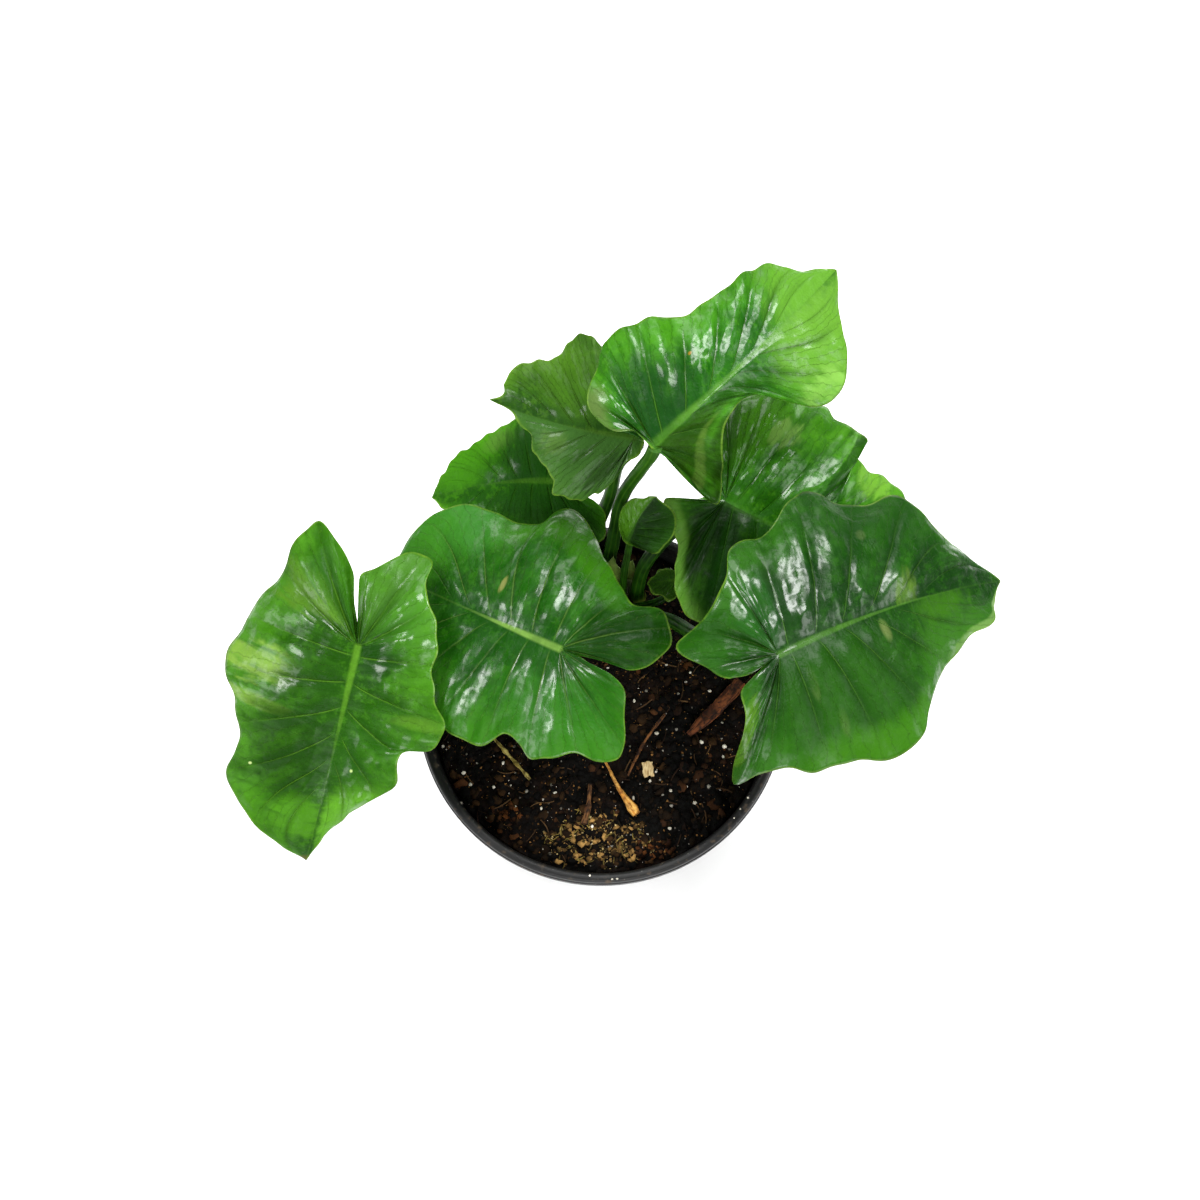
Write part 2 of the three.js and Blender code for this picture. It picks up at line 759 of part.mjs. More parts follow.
addPart('pot', makePot(), 0x2e3133, 0.5);
addPart('soil', makeSoil(), 0x241812, 0.95);
addPart('crown', makeCrown(), 0x6d7a3a, 0.6);

for (const leaf of LEAVES) {
  const columns = leaf.small ? SMALL_COLUMNS : GRID_COLUMNS;
  const rows = leaf.small ? SMALL_ROWS : GRID_ROWS;
  addPart(`blade_${leaf.name}`, thicken(bladeSheet(leaf, columns, rows)), leaf.colour, 0.3);
  addPart(`stalk_${leaf.name}`, makeStalk(leaf), 0x6f9a3c, 0.45);
}

for (const sheath of SHEATHS) {
  addPart(sheath.name, makeSheath(sheath), 0xa9b77a, 0.6);
}

for (const item of LITTER) {
  addPart(item.name, makeLitter(item), item.colour, 0.85);
}

addPart('wood_chip', makeChip(), 0xd9bd8c, 0.8);

export default plant;
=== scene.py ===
# A super atom philodendron in a nursery pot, dressed over its CAD frame.
import math
from dataclasses import dataclass
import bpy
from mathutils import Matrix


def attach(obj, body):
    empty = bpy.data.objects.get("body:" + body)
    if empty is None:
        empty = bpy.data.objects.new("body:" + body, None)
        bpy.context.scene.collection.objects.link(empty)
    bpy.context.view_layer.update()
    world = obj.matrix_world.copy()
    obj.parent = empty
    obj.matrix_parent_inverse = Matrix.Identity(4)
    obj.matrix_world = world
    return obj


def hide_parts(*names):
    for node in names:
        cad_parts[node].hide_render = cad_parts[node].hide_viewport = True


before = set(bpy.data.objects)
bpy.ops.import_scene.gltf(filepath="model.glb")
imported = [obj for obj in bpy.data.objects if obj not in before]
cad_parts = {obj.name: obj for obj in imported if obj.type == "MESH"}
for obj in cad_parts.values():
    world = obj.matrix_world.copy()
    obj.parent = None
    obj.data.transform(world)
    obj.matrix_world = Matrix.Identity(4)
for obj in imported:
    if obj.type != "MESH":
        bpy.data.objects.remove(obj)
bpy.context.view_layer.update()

from types import SimpleNamespace

import bmesh
import bpy
import numpy as np
from mathutils import Vector

MM = 0.001
BODY = "root"
TINY = 1e-6

# All sizes are in millimetres and all angles in degrees. The pot, as the CAD frame has it:
POT_HEIGHT = 90
POT_SEGMENTS = 192
LIP_RADIUS = 52.5
LIP_WIDTH = 3.2
LIP_DEPTH = 6
BASE_RADIUS = 37.5
WALL = 1.4
FLOOR = 2.2
DRAIN_HOLES = 6
DRAIN_RADIUS = 3.5
DRAIN_CIRCLE = 27
DRAIN_CUT = 20

# The filled soil. What lies on it reaches out to COVER_EDGE, and the top DUST_DEPTH of the pot is
# dusty. Crumbs of three sizes make the top: their height, the cell that one fills, and a seed.
CLEARANCE = 0.3
SOIL_LEVEL = 82
SOIL_EDGE = 48.19
SOIL_EDGE_BLEND = 6
SOIL_EDGE_DIP = 1.2
SOIL_RINGS = 96
SOIL_SEGMENTS = 400
SOIL_TOP_DEPTH = 6
CRUMBS = [(1.5, 5.2, 1), (1.1, 2.6, 2), (0.5, 1.3, 3)]
CRUMB_DEPTH = 1.5
COVER_EDGE = SOIL_EDGE - 1.2
# The size of the painted shade in the soil's dips
DIP_SHADE_SIZE = 13
DUST_DEPTH = 9

# The crown: its centre, and radius and height from its foot in the soil to its top
CROWN = (3, 31.3)
CROWN_TOP = 88
CROWN_SEGMENTS = 72
CROWN_PROFILE = [
    (0, 66), (7, 66), (8.4, 68), (9, 72), (9.5, 76), (9.8, 79), (9.9, 81), (9.9, 82.5), (9.7, 84),
    (9.6, 85.2), (9.3, 86.2), (8.9, 87), (8.2, 87.6), (6.5, 88), (3.8, 88.2), (1.6, 88.3), (0, 88.3),
]

# The stalks. Their feet stand on a circle round the crown's centre.
STALK_CIRCLE = 7.4
YOUNG_CIRCLE = 3
STALK_BASE_RADIUS = 2.1
STALK_TOP_RADIUS = 1.7
SMALL_STALK_SHARE = 0.55
STALK_FOOT_FLARE = (1.3, 1.18, 1.06)
STALK_TOP_FLARE = (1.06, 1.12)
STALK_FOOT_DEPTH = 1.5
STALK_RISE = 3
STALK_ARRIVAL = 4
ARRIVAL_LEAN = 0.45
STALK_SEAT = 0.9
STALK_STEPS = 48
STALK_SIDES = 18
STALK_LUMP = 0.25
STALK_LUMP_SIZE = 5

# What all blades share: thickness and keels, the fold at the midrib, and the fading of the waves
BLADE_THICKNESS = 0.55
MARGIN_THICKNESS = 0.3
MIDRIB_KEEL = 1.1
KEEL_WIDTH = 1.1
VEIN_KEEL = 0.22
VEIN_KEEL_SHARPNESS = 0.02
FOLD_EASE = 2
WAVE_FADE_NOTCH = 0.06
WAVE_FADE_TIP = 0.1

# The veins of a half. The first LOBE_SHARE of the margin lies behind the junction. At the midrib
# the veins stand closer than at the margin, by VEIN_ROOTS, and they curve on the way out.
VEINS = 9
LOBE_SHARE = 0.4
VEIN_ROOTS = 0.55
VEIN_BOW = 0.7
VEIN_SWEEP = 1.15

# The quilting: heights, the sizes of the soft bumps that make it uneven, and where it fades out
PUCKER = 1.1
FINE_PUCKER = 0.22
LUMPS = 0.3
CROSS_RIPPLE = 0.12
CRINKLE = 0.7
PUCKER_ROUNDNESS = 0.7
UNEVEN_SIZE = 16
FINE_SIZE = 9
LUMP_SIZE = 7
RIPPLE_SIZE = 14
RIPPLES = 9
CRINKLES = 13
CRINKLE_START = 0.62
FULL_QUILT_REACH = 14
QUILT_EASE = 7
QUILT_MARGIN = 0.16

# The ragged margin: its depth as a share of KINK_REACH, and the kinks of a long and a short half
RAGGED = 0.05
KINKS = 17
SMALL_KINKS = 5
KINK_WIDTH = 1.3
KINK_REACH = 14
LONG_LEAF = 20

# How finely a half is divided, in columns along the margin and rows out to it, and the seeds
LEAF_GRID = (162, 30)
SMALL_GRID = (60, 14)
SHEATH_GRID = (40, 10)
LEAF_SEED = 40
SEEDS_PER_LEAF = 5
SHEATH_SEED = 90


@dataclass
class Leaf:
    """A leaf: where its stalk meets the blade, how the blade is cut and how it bends.

    heading and pitch aim the midrib, droop and back curl it down past the tip and the lobes, sway
    turns it sideways. fold and bend are angles across each half, at the lobe, the junction and the
    tip. Margins run from the notch behind the junction to the tip, x along the midrib, y to its left.
    A wave is (half, height, count, phase), a roll is (half, place, width, start, turn).
    """

    name: str
    junction: tuple
    heading: float
    pitch: float
    fold_left: tuple
    fold_right: tuple
    notch: tuple
    tip: tuple
    left_margin: list
    right_margin: list
    droop: float = 0
    back: float = 0
    sway: float = 0
    bend_left: tuple = (0, 0, 0)
    bend_right: tuple = (0, 0, 0)
    waves: tuple = ()
    rolls: tuple = ()
    crown_angle: float = 0
    stalk_path: tuple = ()
    stalk_circle: float = STALK_CIRCLE
    slot: str = "leaf_deep"
    small: bool = False

    def __post_init__(self):
        outline = np.array([*self.left_margin, *self.right_margin, self.notch, self.tip], float)
        self.length = self.tip[0]
        self.lobes = max(1.0, -outline[:, 0].min())
        self.width = np.abs(outline[:, 1]).max()


LEAVES = [
    Leaf(
        name="far_left", slot="leaf_bright", junction=(-64.7, 4, 134), crown_angle=210,
        heading=-103, pitch=-14, droop=40, back=14,
        fold_left=(-10, 3, 10), fold_right=(12, 8, 4), bend_left=(40, 10, -25), bend_right=(-60, -50, -25),
        notch=(-5, -1.2), tip=(66, -4.5),
        left_margin=[
            (-12, -2.5), (-18, -3.5), (-22, 0), (-28, 8), (-27, 13), (-21, 14), (-9, 20), (0, 22), (7, 23),
            (17, 27), (23, 25), (25, 18), (34, 17), (42, 10), (54, 1),
        ],
        right_margin=[
            (-12, -4), (-19, -6), (-25, -11), (-31, -19), (-23, -24), (-16, -26), (-10, -31), (1, -36),
            (13, -37.5), (23, -32), (33, -29), (45, -31), (52, -25), (59, -16), (64, -9),
        ],
        waves=[(1, 1.6, 6, 30), (-1, 1.4, 6, 200)],
        stalk_path=[(-24, 20.3, 107), (-47, 10.3, 116.5)],
    ),
    Leaf(
        name="front_left", junction=(-10.9, 2.3, 137), crown_angle=250,
        heading=155, pitch=-5, droop=26, back=20,
        fold_left=(-8, -10, -10), fold_right=(14, 16, 8),
        bend_left=(-10, -10, -15), bend_right=(-80, -70, -30),
        notch=(-5, -0.4), tip=(58, -4),
        left_margin=[
            (-9, 0.3), (-15, 0.7), (-20, 3), (-24, 10), (-28, 20), (-22, 23), (-15, 24), (-9, 28), (-5, 30),
            (0, 27), (5, 27), (11, 32), (20, 32), (29, 26), (38, 18), (48, 8),
        ],
        right_margin=[
            (-9, -1.2), (-15, -2.2), (-20, -3), (-24, -8), (-26, -15), (-21, -21), (-12, -19), (-6, -24),
            (1, -32), (9, -39), (16, -43), (21, -40), (23, -33), (31, -31), (41, -31), (49, -26), (55, -17),
        ],
        waves=[(1, 1.4, 7, 0), (-1, 1.6, 7, 90)],
        stalk_path=[(-2, 18.3, 106), (-9, 7.3, 124)],
    ),
    Leaf(
        name="front_right", junction=(46.1, -1.7, 146), crown_angle=285,
        heading=28, pitch=-5, droop=34, back=22, sway=-18,
        fold_left=(16, 18, 8), fold_right=(-6, -2, 2),
        bend_left=(-60, -45, -20), bend_right=(-50, -35, -25),
        notch=(-4, -0.5), tip=(76, 6.5),
        left_margin=[
            (-11, -1), (-18, 5), (-22, 15), (-13, 18), (-4, 23), (2, 31), (8, 34), (12, 33), (17, 34),
            (24, 39), (28, 40), (32, 37), (34, 34.5), (42, 33), (54, 33), (58, 22), (65, 16),
        ],
        right_margin=[
            (-9, -2.2), (-13, -4), (-16, -11), (-23, -20), (-30.5, -31.5), (-20, -26), (-12, -28),
            (-4, -32), (8, -35), (22, -37), (30, -33), (34, -27), (43, -19), (54, -12), (66, -6), (68, -2),
        ],
        waves=[(1, 1.6, 8, 0), (-1, 1.6, 7, 0)],
        rolls=[(-1, 0.2, 0.16, 0.6, -60)],
        stalk_path=[(18, 20.9, 101), (26, 13.3, 112)],
    ),
    Leaf(
        name="top_right", slot="leaf_bright", junction=(13.7, 47.8, 168), crown_angle=100,
        heading=42, pitch=8, droop=30, back=26, sway=7,
        fold_left=(22, 20, 8), fold_right=(-75, -72, -6),
        bend_left=(-50, -30, -20), bend_right=(0, 20, -20),
        notch=(-1, -1), tip=(74, 2.6),
        left_margin=[
            (-1, 4), (-2, 10), (-6, 16), (-5, 20), (2, 26), (8, 29), (14, 29), (21, 26), (29, 21), (40, 19),
            (50, 18), (58, 16), (64, 11),
        ],
        right_margin=[
            (0, -5), (2, -12), (3, -20), (3, -28), (5, -32), (9, -29), (13, -21), (16, -13), (20, -9.5),
            (27, -8.5), (33, -11), (37, -16), (46, -23), (53, -21), (58, -18), (62, -10),
        ],
        waves=[(1, 1.4, 6, 0), (-1, 1.2, 6, 0)],
        rolls=[(1, 0.14, 0.13, 0.5, 150), (-1, 0.3, 0.24, 0.62, 95)],
        stalk_path=[(3.4, 42.3, 108), (5.8, 47.3, 130), (10.5, 48.1, 150)],
    ),
    Leaf(
        name="mid_right", junction=(33.8, 46.4, 129), crown_angle=5,
        heading=-28, pitch=-8, droop=28, back=18, sway=22,
        fold_left=(18, 18, 8), fold_right=(-16, -18, -8),
        bend_left=(-60, -50, -20), bend_right=(-20, -20, -10),
        notch=(-4, -0.5), tip=(65, 7.5),
        left_margin=[
            (-7, 4), (-12, 11), (-13, 17), (-13, 25), (-11, 33), (-3, 38.5), (9, 40.5), (15, 42), (19, 39),
            (26, 37), (30, 33), (28, 28), (33, 27), (41, 27), (47, 25), (53, 19), (60, 13),
        ],
        right_margin=[
            (-8, -3.5), (-15, -7), (-12, -11), (-9, -14), (-5, -19), (-3, -25), (3, -31), (9, -33),
            (18, -32), (28, -26), (37, -16), (48, -7), (58, 0),
        ],
        waves=[(1, 2, 7, 0), (-1, 1.2, 6, 0)],
        rolls=[(-1, 0.3, 0.25, 0.7, 45)],
        stalk_path=[(12.5, 36.1, 105), (20.2, 41.7, 117)],
    ),
    Leaf(
        name="top_left", slot="leaf_olive", junction=(8.6, 56.5, 151), crown_angle=135,
        heading=175, pitch=6, droop=30, back=8, sway=-20,
        fold_left=(-24, -30, -30), fold_right=(10, 12, 8),
        bend_left=(-15, -10, -5), bend_right=(-50, -50, -20),
        notch=(-3, 1), tip=(42, -3.2),
        left_margin=[
            (-2, 4), (2, 8), (4, 13), (8, 17), (14, 19.5), (20, 18), (21, 14), (26, 10), (29, 4), (34, -1),
        ],
        right_margin=[
            (-3, -4), (-1, -10), (1, -19), (7, -25.5), (12, -27), (18, -29), (22, -26), (25, -21),
            (34, -16), (38, -9), (37.5, -5.5),
        ],
        waves=[(1, 1.2, 5, 0), (-1, 1.4, 5, 0)],
        stalk_path=[(-2.5, 43.8, 101), (2.5, 50.8, 122), (5, 53.8, 140)],
    ),
    Leaf(
        name="mid_left", slot="leaf_bright", junction=(-13.4, 55.1, 121), crown_angle=170,
        heading=178, pitch=2, droop=36, back=14, sway=18,
        fold_left=(6, 6, 4), fold_right=(10, 10, 6), bend_left=(-40, -40, -30), bend_right=(-30, -30, -20),
        notch=(-3, 1), tip=(36.4, -2.6),
        left_margin=[
            (-5, 5), (-10, 4.6), (-14, 7), (-16, 11), (-15, 16), (-9, 19), (0, 18), (11, 15), (21, 10),
            (30, 5),
        ],
        right_margin=[
            (-5, -1.5), (-9, -3.5), (-12, -8), (-10, -15), (-4, -19), (3, -20), (10, -19), (18, -17),
            (25, -13), (32, -7),
        ],
        waves=[(1, 1, 5, 0), (-1, 1, 5, 0)],
        stalk_path=[(-7.5, 40.3, 100), (-13, 51.3, 111)],
    ),
    Leaf(
        name="young", slot="young_leaf", junction=(7, 36.2, 126), crown_angle=0,
        heading=60, pitch=40, droop=10,
        fold_left=(50, 50, 20), fold_right=(30, 30, 10),
        notch=(-1, 0), tip=(15, -2),
        left_margin=[(0, 2), (4, 5), (9, 5), (13, 2)],
        right_margin=[(0, -3.5), (2, -10), (8, -13), (13, -9)],
        waves=[(1, 0.8, 3, 0), (-1, 1.1, 4, 60)],
        stalk_path=[(6.5, 33.3, 106)],
        stalk_circle=YOUNG_CIRCLE, small=True,
    ),
    Leaf(
        name="lower", slot="leaf_olive", junction=(23.3, 32.3, 102), crown_angle=325,
        heading=186, pitch=5, droop=14,
        fold_left=(4, 4, 4), fold_right=(4, 4, 4),
        notch=(-1, 0), tip=(10.5, 0),
        left_margin=[(0, 3), (3.5, 5.5), (8, 4.5)],
        right_margin=[(0, -2.5), (3.5, -3.5), (7.5, -3)],
        stalk_path=[(16, 27.8, 95)],
        small=True,
    ),
]

# The dry sheaths round the stalks' feet: name, foot, heading, pitch, length and half width
SHEATHS = [
    ("sheath_tall", (2.6, 33.8), 78, 82, 18, 3.2),
    ("sheath_short", (7.6, 36.7), 60, 80, 10, 2.6),
]
SHEATH_FOOT = CROWN_TOP + CLEARANCE + 1
SHEATH_PUCKER = (0.2, 0.2)

# What lies on the soil: a path seen from above, radii along it, how flat it is, how lumpy, and its
# finish with dark, middle and light colours
LITTER = [
    {
        "name": "dry_root", "slot": "tan_root", "flatten": 1, "lump": 0.5,
        "path": [(1.1, -16.2), (5, -24.2), (10, -31.7)],
        "radii": [0.4, 0.38, 0.45, 0.5, 0.65, 0.8, 1.0, 1.55, 1.2],
        "finish": ("tan_root", "#7a4a18", "#b87c30", "#dcae5c", 0.7),
    },
    {
        "name": "brown_twig", "slot": "brown_wood", "flatten": 1, "lump": 0.35,
        "path": [(18.3, -2.4), (12, -11.2), (7.6, -20.3)],
        "radii": [0.45, 0.5, 0.38, 0.42, 0.5, 0.38, 0.3],
        "finish": ("brown_twig", "#1c0d05", "#472810", "#84552c", 0.8),
    },
    {
        "name": "bark_strip", "slot": "bark", "flatten": 0.35, "lump": 0.9,
        "path": [(40.5, 7.3), (32.8, -0.9), (25, -8.3)],
        "radii": [1.9, 2.1, 1.9, 2.0, 1.7, 0.8],
        "finish": ("red_bark", "#160904", "#40200f", "#7a4424", 0.85),
    },
    {
        "name": "pale_root", "slot": "pale_root", "flatten": 1, "lump": 0.45,
        "path": [(-30.5, -9.8), (-25.5, -15.6), (-20.3, -21.5)],
        "radii": [0.45, 0.5, 0.42, 0.75, 0.45, 0.4, 0.7, 0.45, 0.4, 0.65, 0.5],
        "finish": ("pale_root", "#4c3f14", "#8a7834", "#b4a660", 0.7),
    },
    {
        "name": "short_twig", "slot": "brown_wood", "flatten": 0.8, "lump": 0.5,
        "path": [(-3.2, -22.9), (-3.6, -28.7), (-4.9, -34.5)],
        "radii": [0.5, 0.7, 0.6, 0.95, 0.8, 1.1],
        "finish": ("short_twig", "#140a04", "#442812", "#76502c", 0.85),
    },
]
LITTER_GAP = 0.6
LITTER_STEPS = 60
LITTER_SIDES = 20
LITTER_LUMP_SIZE = 1.8

# The chip of pale wood, with the cuts that its faces are divided by and the bevel of its edges
CHIP_PLACE = (13.3, -18.5)
CHIP_SIZE = (2.9, 4.1, 1.5)
CHIP_TURN = 6
CHIP_CUTS = 7
CHIP_BEVEL = 0.12
CHIP_SEED = 7

# The moss and the small heaps of bark flakes: the middle of each oval, and its half widths
MOSS = (-1, -38.5, 14, 7)
BARK_HEAPS = [(15, -41, 6.5, 2.4), (-27, -31, 5, 2.6)]

# Large perlite grains that catch the eye: place seen from above, and reach with the glare round it
LARGE_GRAINS = [
    (-39.4, -19.2, 0.8), (-37.4, -22.4, 0.7), (-30.7, -23.4, 0.8), (-25.8, -22.9, 0.5),
    (15.9, -7.7, 0.7), (28.8, -10.1, 0.8), (35.3, -11.7, 0.9), (34.9, -14.7, 0.6), (9.5, 1.1, 0.7),
    (31.3, 5, 0.6), (18.9, 12.4, 0.5), (9.1, -26.6, 0.8), (25.7, -26.4, 0.6), (19.7, -24.7, 0.5),
    (24.4, -23.4, 0.4), (26.6, -28, 0.7), (19.4, -35.4, 0.7), (13.1, -37.3, 0.5), (-2.6, -35, 0.6),
    (-17, -30, 0.5), (-16.5, -41, 0.5), (-11, -26.4, 0.4), (13.9, -21.8, 0.8), (-39.9, -28.1, 0.5),
]
GRAIN_SHARE = 0.8
GRAIN_SHADE = 0.9
LIP_GRAINS = [(3, -51.2), (4.4, -51.1), (39, -31.4), (37.2, -34), (41.2, -28.2), (-3.2, -50.2)]
LIP_GRAIN_RADIUS = 0.35
LIP_GRAIN_SEED = 100

# Soft square lights: name, place and side length in metres, and power in watts
LIGHTS = [
    ("overhead", (0.3, 0.42, 1.1), 0.52, 15),
    ("left_window", (-0.62, 0.1, 1.0), 0.3, 5),
    ("right_fill", (1.15, -0.3, 0.85), 1.0, 12.5),
    ("left_fill", (-1.15, -0.3, 0.85), 1.0, 11),
    ("front_fill", (0, -1.2, 0.85), 1.0, 16),
    ("back_fill", (0, 1.15, 0.85), 1.0, 9),
]
LIGHT_TARGET = (0, 0, 0.12)
WORLD_STRENGTH = 0.14
PAPER_REACH = 3000

# The camera looks down from the front, as the photograph does
CAMERA_PLACE = (-0.3697, -148.884, 693.03)
LOOKS_DOWN = 73.5
SENSOR = 36
LENS = 65.4


# Numbers, curves and noise

def smoothstep(x):
    x = np.clip(x, 0, 1)
    return x * x * (3 - 2 * x)


def not_zero(values):
    return np.where(np.abs(values) < TINY, TINY, values)


def circle(segments):
    """Angles round a circle, in radians."""
    return np.linspace(0, 2 * math.pi, segments, endpoint=False)


def ring(radius, angles, height):
    return np.stack([radius * np.cos(angles), radius * np.sin(angles), 0 * angles + height], -1)


def height_at(surface, x, y):
    """The height of a surface at one point."""
    return float(surface(np.array([float(x)]), np.array([float(y)]))[0])


def smooth_path(points, per_span=24):
    """A centripetal Catmull-Rom curve through the points."""
    points = [np.asarray(p, float) for p in points]
    ends = [2 * points[0] - points[1], *points, 2 * points[-1] - points[-2]]
    path = []
    for before, start, end, after in zip(ends, ends[1:], ends[2:], ends[3:]):
        gap_in, gap, gap_out = (
            math.sqrt(math.dist(p, q)) for p, q in ((before, start), (start, end), (end, after))
        )
        leave = (start - before) / gap_in - (end - before) / (gap_in + gap) + (end - start) / gap
        arrive = (end - start) / gap - (after - start) / (gap + gap_out) + (after - end) / gap_out
        leave, arrive = leave * gap, arrive * gap
        w = np.arange(per_span)[:, None] / per_span
        path.append(
            start + leave * w + (3 * (end - start) - 2 * leave - arrive) * w**2
            + (2 * (start - end) + leave + arrive) * w**3
        )
    path.append(points[-1][None])
    return np.vstack(path)


def even_path(points, count):
    """The same curve, cut into count equal steps."""
    path = smooth_path(points)
    length = np.concatenate([[0], np.cumsum(np.linalg.norm(np.diff(path, axis=0), axis=1))])
    stops = np.linspace(0, length[-1], count + 1)
    return np.stack([np.interp(stops, length, axis) for axis in path.T], -1)


def swell(x, y, size, seed):
    """Soft bumps of about the given size, from -1 to 1."""
    waves = 7
    rng = np.random.default_rng(seed)
    total = 0
    for _ in range(waves):
        angle, phase = rng.uniform(0, 2 * math.pi, 2)
        pace = 2 * math.pi / (size * rng.uniform(0.7, 1.6))
        total = total + np.sin(pace * (x * math.cos(angle) + y * math.sin(angle)) + phase)
    return total / (waves / 2)


def crumbs(x, y, cell, seed):
    """Heights of round crumbs scattered on a jittered grid, from 0 to 1."""
    repeat = 64
    rng = np.random.default_rng(seed)
    shift = rng.uniform(0, 1, (repeat, repeat, 3))
    column, row = np.floor(x / cell).astype(int), np.floor(y / cell).astype(int)
    best = np.zeros_like(x)
    for i in (-1, 0, 1):
        for j in (-1, 0, 1):
            jitter = shift[(column + i) % repeat, (row + j) % repeat]
            dx = x / cell - (column + i) - jitter[..., 0]
            dy = y / cell - (row + j) - jitter[..., 1]
            reach = 0.45 + 0.45 * jitter[..., 2]
            dome = np.sqrt(np.clip(1 - (dx * dx + dy * dy) / reach**2, 0, 1))
            best = np.maximum(best, dome * reach)
    return best


# Meshes and pieces

def in_scene(name, data):
    made = bpy.data.objects.new(name, data)
    bpy.context.scene.collection.objects.link(made)
    return made


def mesh_object(name, points, faces, edges=()):
    """A smooth object from points in millimetres."""
    mesh = bpy.data.meshes.new(name)
    mesh.from_pydata((np.asarray(points, float) * MM).tolist(), edges, faces)
    mesh.shade_smooth()
    return in_scene(name, mesh)


def bmesh_object(name, work):
    """An object from a bmesh, which is freed."""
    mesh = bpy.data.meshes.new(name)
    work.to_mesh(mesh)
    work.free()
    return in_scene(name, mesh)


def point_values(piece, name, values):
    """Keeps one number, or three, for each vertex, for a material or a tree to read."""
    values = np.asarray(values, np.float32)
    kind, field = ("FLOAT", "value") if values.ndim == 1 else ("FLOAT_VECTOR", "vector")
    layer = piece.data.attributes.new(name, kind, "POINT")
    layer.data.foreach_set(field, values.ravel())


def settled(piece, name):
    """The piece with its modifiers worked into a plain mesh, under a new name."""
    bpy.context.view_layer.update()
    graph = bpy.context.evaluated_depsgraph_get()
    mesh = bpy.data.meshes.new_from_object(piece.evaluated_get(graph))
    mesh.name = name
    made = in_scene(name, mesh)
    bpy.data.objects.remove(piece)
    return made


def hand_over(piece, slot, *nodes):
    """Fixes a finished piece to the object and hides the solids it stands for."""
    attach(piece, BODY)
    if nodes:
        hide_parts(*nodes)


# Trees of nodes, for materials and for geometry

class Number:
    """A value on its way through a tree of nodes. Sums and products add Math nodes."""

    def __init__(self, tree, socket):
        self.tree = tree
        self.socket = socket

    def __add__(self, other):
        return self.tree.maths("ADD", self, other)

    def __sub__(self, other):
        return self.tree.maths("SUBTRACT", self, other)

    def __rsub__(self, other):
        return self.tree.maths("SUBTRACT", other, self)

    def __mul__(self, other):
        return self.tree.maths("MULTIPLY", self, other)

    def __truediv__(self, other):
        return self.tree.maths("DIVIDE", self, other)

    def __rtruediv__(self, other):
        return self.tree.maths("DIVIDE", other, self)

    def __pow__(self, other):
        return self.tree.maths("POWER", self, other)

    def __abs__(self):
        return self.tree.maths("ABSOLUTE", self)

    __radd__ = __add__
    __rmul__ = __mul__


class Tree:
    """A tree of nodes while it is being made."""

    def __init__(self, tree):
        self.tree = tree

    def node(self, kind, settings=None, sockets=None, out=0):
        """Any node: its settings first, then the values or links of its sockets."""
        made = self.tree.nodes.new(kind)
        for name, value in (settings or {}).items():
            setattr(made, name, value)
        for name, value in (sockets or {}).items():
            self.plug(made.inputs[name], value)
        return Number(self, made.outputs[out])

    def plug(self, socket, value):
        if isinstance(value, Number):
            self.tree.links.new(value.socket, socket)
        else:
            socket.default_value = value

    def maths(self, operation, *values):
        return self.node("ShaderNodeMath", {"operation": operation}, dict(enumerate(values)))


# Materials

def colour(code):
    """A hex colour as the linear colour that shaders take."""
    levels = [int(code[i:i + 2], 16) / 255 for i in (1, 3, 5)]
    linear = [c / 12.92 if c <= 0.04045 else ((c + 0.055) / 1.055) ** 2.4 for c in levels]
    return (*linear, 1)


# The studio light turns the floor white, so plant colours are held down by this much
HELD_DOWN = (0.4, 0.5, 0.19)


def plant_colour(code):
    """A colour as seen on the plant, as the linear colour that gives it under the studio light."""
    return (*(level * hold for level, hold in zip(colour(code), HELD_DOWN)), 1)


# The size of a noise that takes its coordinates as they are
UNSCALED = 1 / MM


